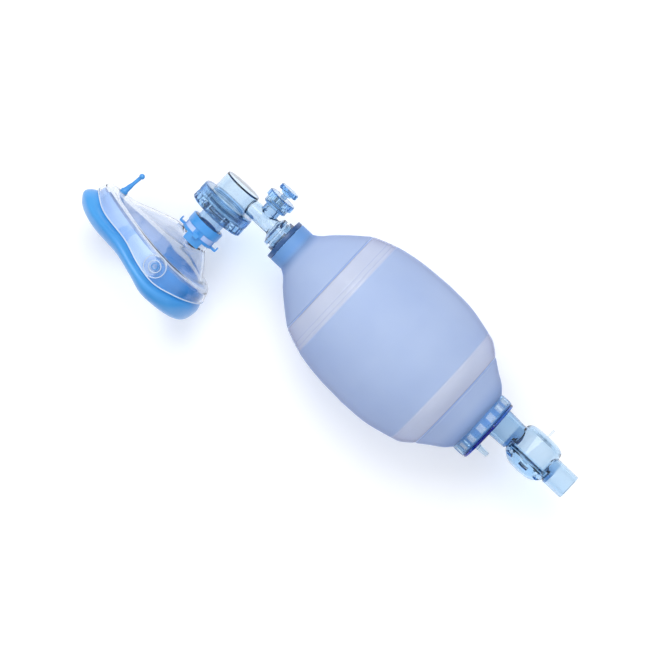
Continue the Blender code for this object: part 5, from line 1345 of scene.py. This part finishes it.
def build_hook_ring():
    bore = MASK_NECK_RADIUS + FIT_GAP
    start = MASK_NECK_TOP + FIT_GAP
    radius, waist = 15.0 * MM, 14.3 * MM
    band_end = start + 7.4 * MM
    end = start + 14.7 * MM
    foot = end - 2.0 * MM
    outline = [(bore, start), (radius, start), (radius, band_end), (waist, band_end), (waist, foot)]
    outline += [(radius, foot), (radius, end), (bore, end)]
    ring = fine("hook_ring", spun(rounded(outline, 0.5 * MM), patient), BLUE, "mask")
    inner, low, high = bore + FIT_GAP, foot + 0.5 * MM, end + 5.6 * MM
    apron = [(inner, low), (15.4 * MM, low), (15.4 * MM, high), (inner, high)]
    aprons = tool("aprons", spun(rounded(apron, 0.4 * MM), patient))
    span = box_tool("span", patient @ Matrix.Translation((0, 0, end)), (15 * MM, 46 * MM, 22 * MM))
    carved(aprons, meets=[span], sharp=None)
    unions = [aprons]
    root, tip = 14.0 * MM, end - HOOK_THICKNESS - 2.6 * MM
    for i in range(4):
        turn = patient @ Matrix.Rotation(i * math.pi / 2, 4, "Z")
        side = [
            (root, end - 0.5 * MM), (HOOK_REACH - 0.8 * MM, end - 0.5 * MM), (HOOK_REACH, end - 1.3 * MM),
            (HOOK_REACH, tip + 0.4 * MM), (HOOK_REACH - 0.4 * MM, tip), (HOOK_REACH - 0.8 * MM, tip),
            (HOOK_REACH - 1.2 * MM, tip + 0.4 * MM), (HOOK_REACH - 1.2 * MM, end - HOOK_THICKNESS),
            (root, end - HOOK_THICKNESS),
        ]
        rings = [[turn @ Vector((r, y, z)) for r, z in side] for y in (-HOOK_WIDTH / 2, HOOK_WIDTH / 2)]
        unions.append(tool(f"hook_{i}", lofted(rings)))
    window = (13.5 * MM, 45 * MM, foot - band_end - MM)
    middle = patient @ Matrix.Translation((0, 0, (band_end + foot) / 2))
    quarters = [middle @ Matrix.Rotation(math.pi / 4 + i * math.pi / 2, 4, "Z") for i in range(2)]
    carved(ring, unions, [box_tool("window", matrix, window) for matrix in quarters])
    low, high, outer = band_end - MM, foot + MM, bore + 0.7 * MM
    pane = [(bore, low), (outer, low), (outer, high), (bore, high)]
    piece("hook_ring_panes", spun(pane, patient), PANE, "mask")


FILL_STEM_PLACE = 68.0 * MM
FILL_LEAN = math.radians(7.8)
fill = (
    patient
    @ Matrix.Translation((-FILL_STEM_PLACE, 0, MASK_SHOULDER[0] * MM))
    @ Matrix.Rotation(math.pi - FILL_LEAN, 4, "Y")
)


# ---------------------------------------------------------------- studio


FLOOR_HALF = 3.0
FLOOR_DROP = 0.2 * MM
FLOOR_GLOW = 0.16
WORLD_POWER = 0.9
KEY_POWER = 10
FILL_POWER = 2


def build_studio():
    """A pale floor, and a world that is white above and dark low down, so that clear edges read dark."""
    mesh = bmesh.new()
    bmesh.ops.create_grid(mesh, x_segments=1, y_segments=1, size=FLOOR_HALF)
    floor = tool("floor", mesh)
    floor.location.z = -FLOOR_DROP
    look = Look("studio_floor")
    look.colour(look.blended(look.noise(6, 2), (0.93, 0.935, 0.95), (0.95, 0.952, 0.965)))
    look.set(Roughness=0.9, Emission_Color=(0.97, 0.98, 1.0, 1), Emission_Strength=FLOOR_GLOW)
    look.shader.inputs["Specular IOR Level"].default_value = 0.1
    floor.data.materials.append(look.material)

    world = bpy.data.worlds.new("studio")
    bpy.context.scene.world = world
    world.use_nodes = True
    world.cycles.sampling_method = "NONE"
    nodes, links = world.node_tree.nodes, world.node_tree.links
    background = nodes["Background"]
    place = nodes.new("ShaderNodeTexCoord")
    split = nodes.new("ShaderNodeSeparateXYZ")
    ramp = nodes.new("ShaderNodeValToRGB")
    path = nodes.new("ShaderNodeLightPath")
    seen = nodes.new("ShaderNodeMix")
    seen.data_type = "RGBA"
    links.new(place.outputs["Generated"], split.inputs[0])
    links.new(split.outputs["Z"], ramp.inputs["Fac"])
    links.new(path.outputs["Is Camera Ray"], seen.inputs["Factor"])
    links.new(ramp.outputs["Color"], seen.inputs[6])
    seen.inputs[7].default_value = (0.9, 0.92, 0.95, 1)
    links.new(seen.outputs[2], background.inputs["Color"])
    stops = ramp.color_ramp.elements
    stops[0].position, stops[0].color = 0.1, (0.01, 0.03, 0.1, 1)
    stops[1].position, stops[1].color = 0.5, (0.95, 0.97, 1.0, 1)
    background.inputs["Strength"].default_value = WORLD_POWER

    up_in_picture = Vector((-math.sin(CAMERA_TURN), math.cos(CAMERA_TURN), 0))
    right_in_picture = Vector((math.cos(CAMERA_TURN), math.sin(CAMERA_TURN), 0))
    lamp("key_light", up_in_picture * 0.75 + Vector((0, 0, 1.35)), 0.9, KEY_POWER)
    lamp("fill_light", right_in_picture * -1.1 + Vector((0, 0, 1.1)), 1.0, FILL_POWER)


def lamp(name, place, size, power):
    data = bpy.data.lights.new(name, "AREA")
    data.shape = "SQUARE"
    data.size = size
    data.energy = power
    thing = bpy.data.objects.new(name, data)
    thing.location = place
    thing.rotation_euler = (-place).to_track_quat("-Z", "Y").to_euler()
    thing.visible_transmission = False
    bpy.context.scene.collection.objects.link(thing)


def build_camera():
    data = bpy.data.cameras.new("camera")
    data.lens = CAMERA_LENS
    camera = bpy.data.objects.new("camera", data)
    aim = Vector((PATIENT_PLACE.x, PATIENT_PLACE.y, 0)) + CAMERA_OFFSET
    camera.location = aim + Vector((0, 0, CAMERA_HEIGHT))
    camera.rotation_euler = (0, 0, CAMERA_TURN)
    bpy.context.scene.collection.objects.link(camera)
    bpy.context.scene.camera = camera
    bpy.context.scene.view_settings.view_transform = "Standard"


build_camera()
build_studio()
build_bag()
build_neck()
build_clamp_ring()
build_tail_plate()
build_nipple()
build_reservoir()
build_vent_cap()
build_tail_valves()
build_elbow()
build_ring_nut()
build_port()
build_lip_valve()
build_release()
build_dome()
build_seam()
build_cushion()
build_fill()
build_boss()
build_hook_ring()
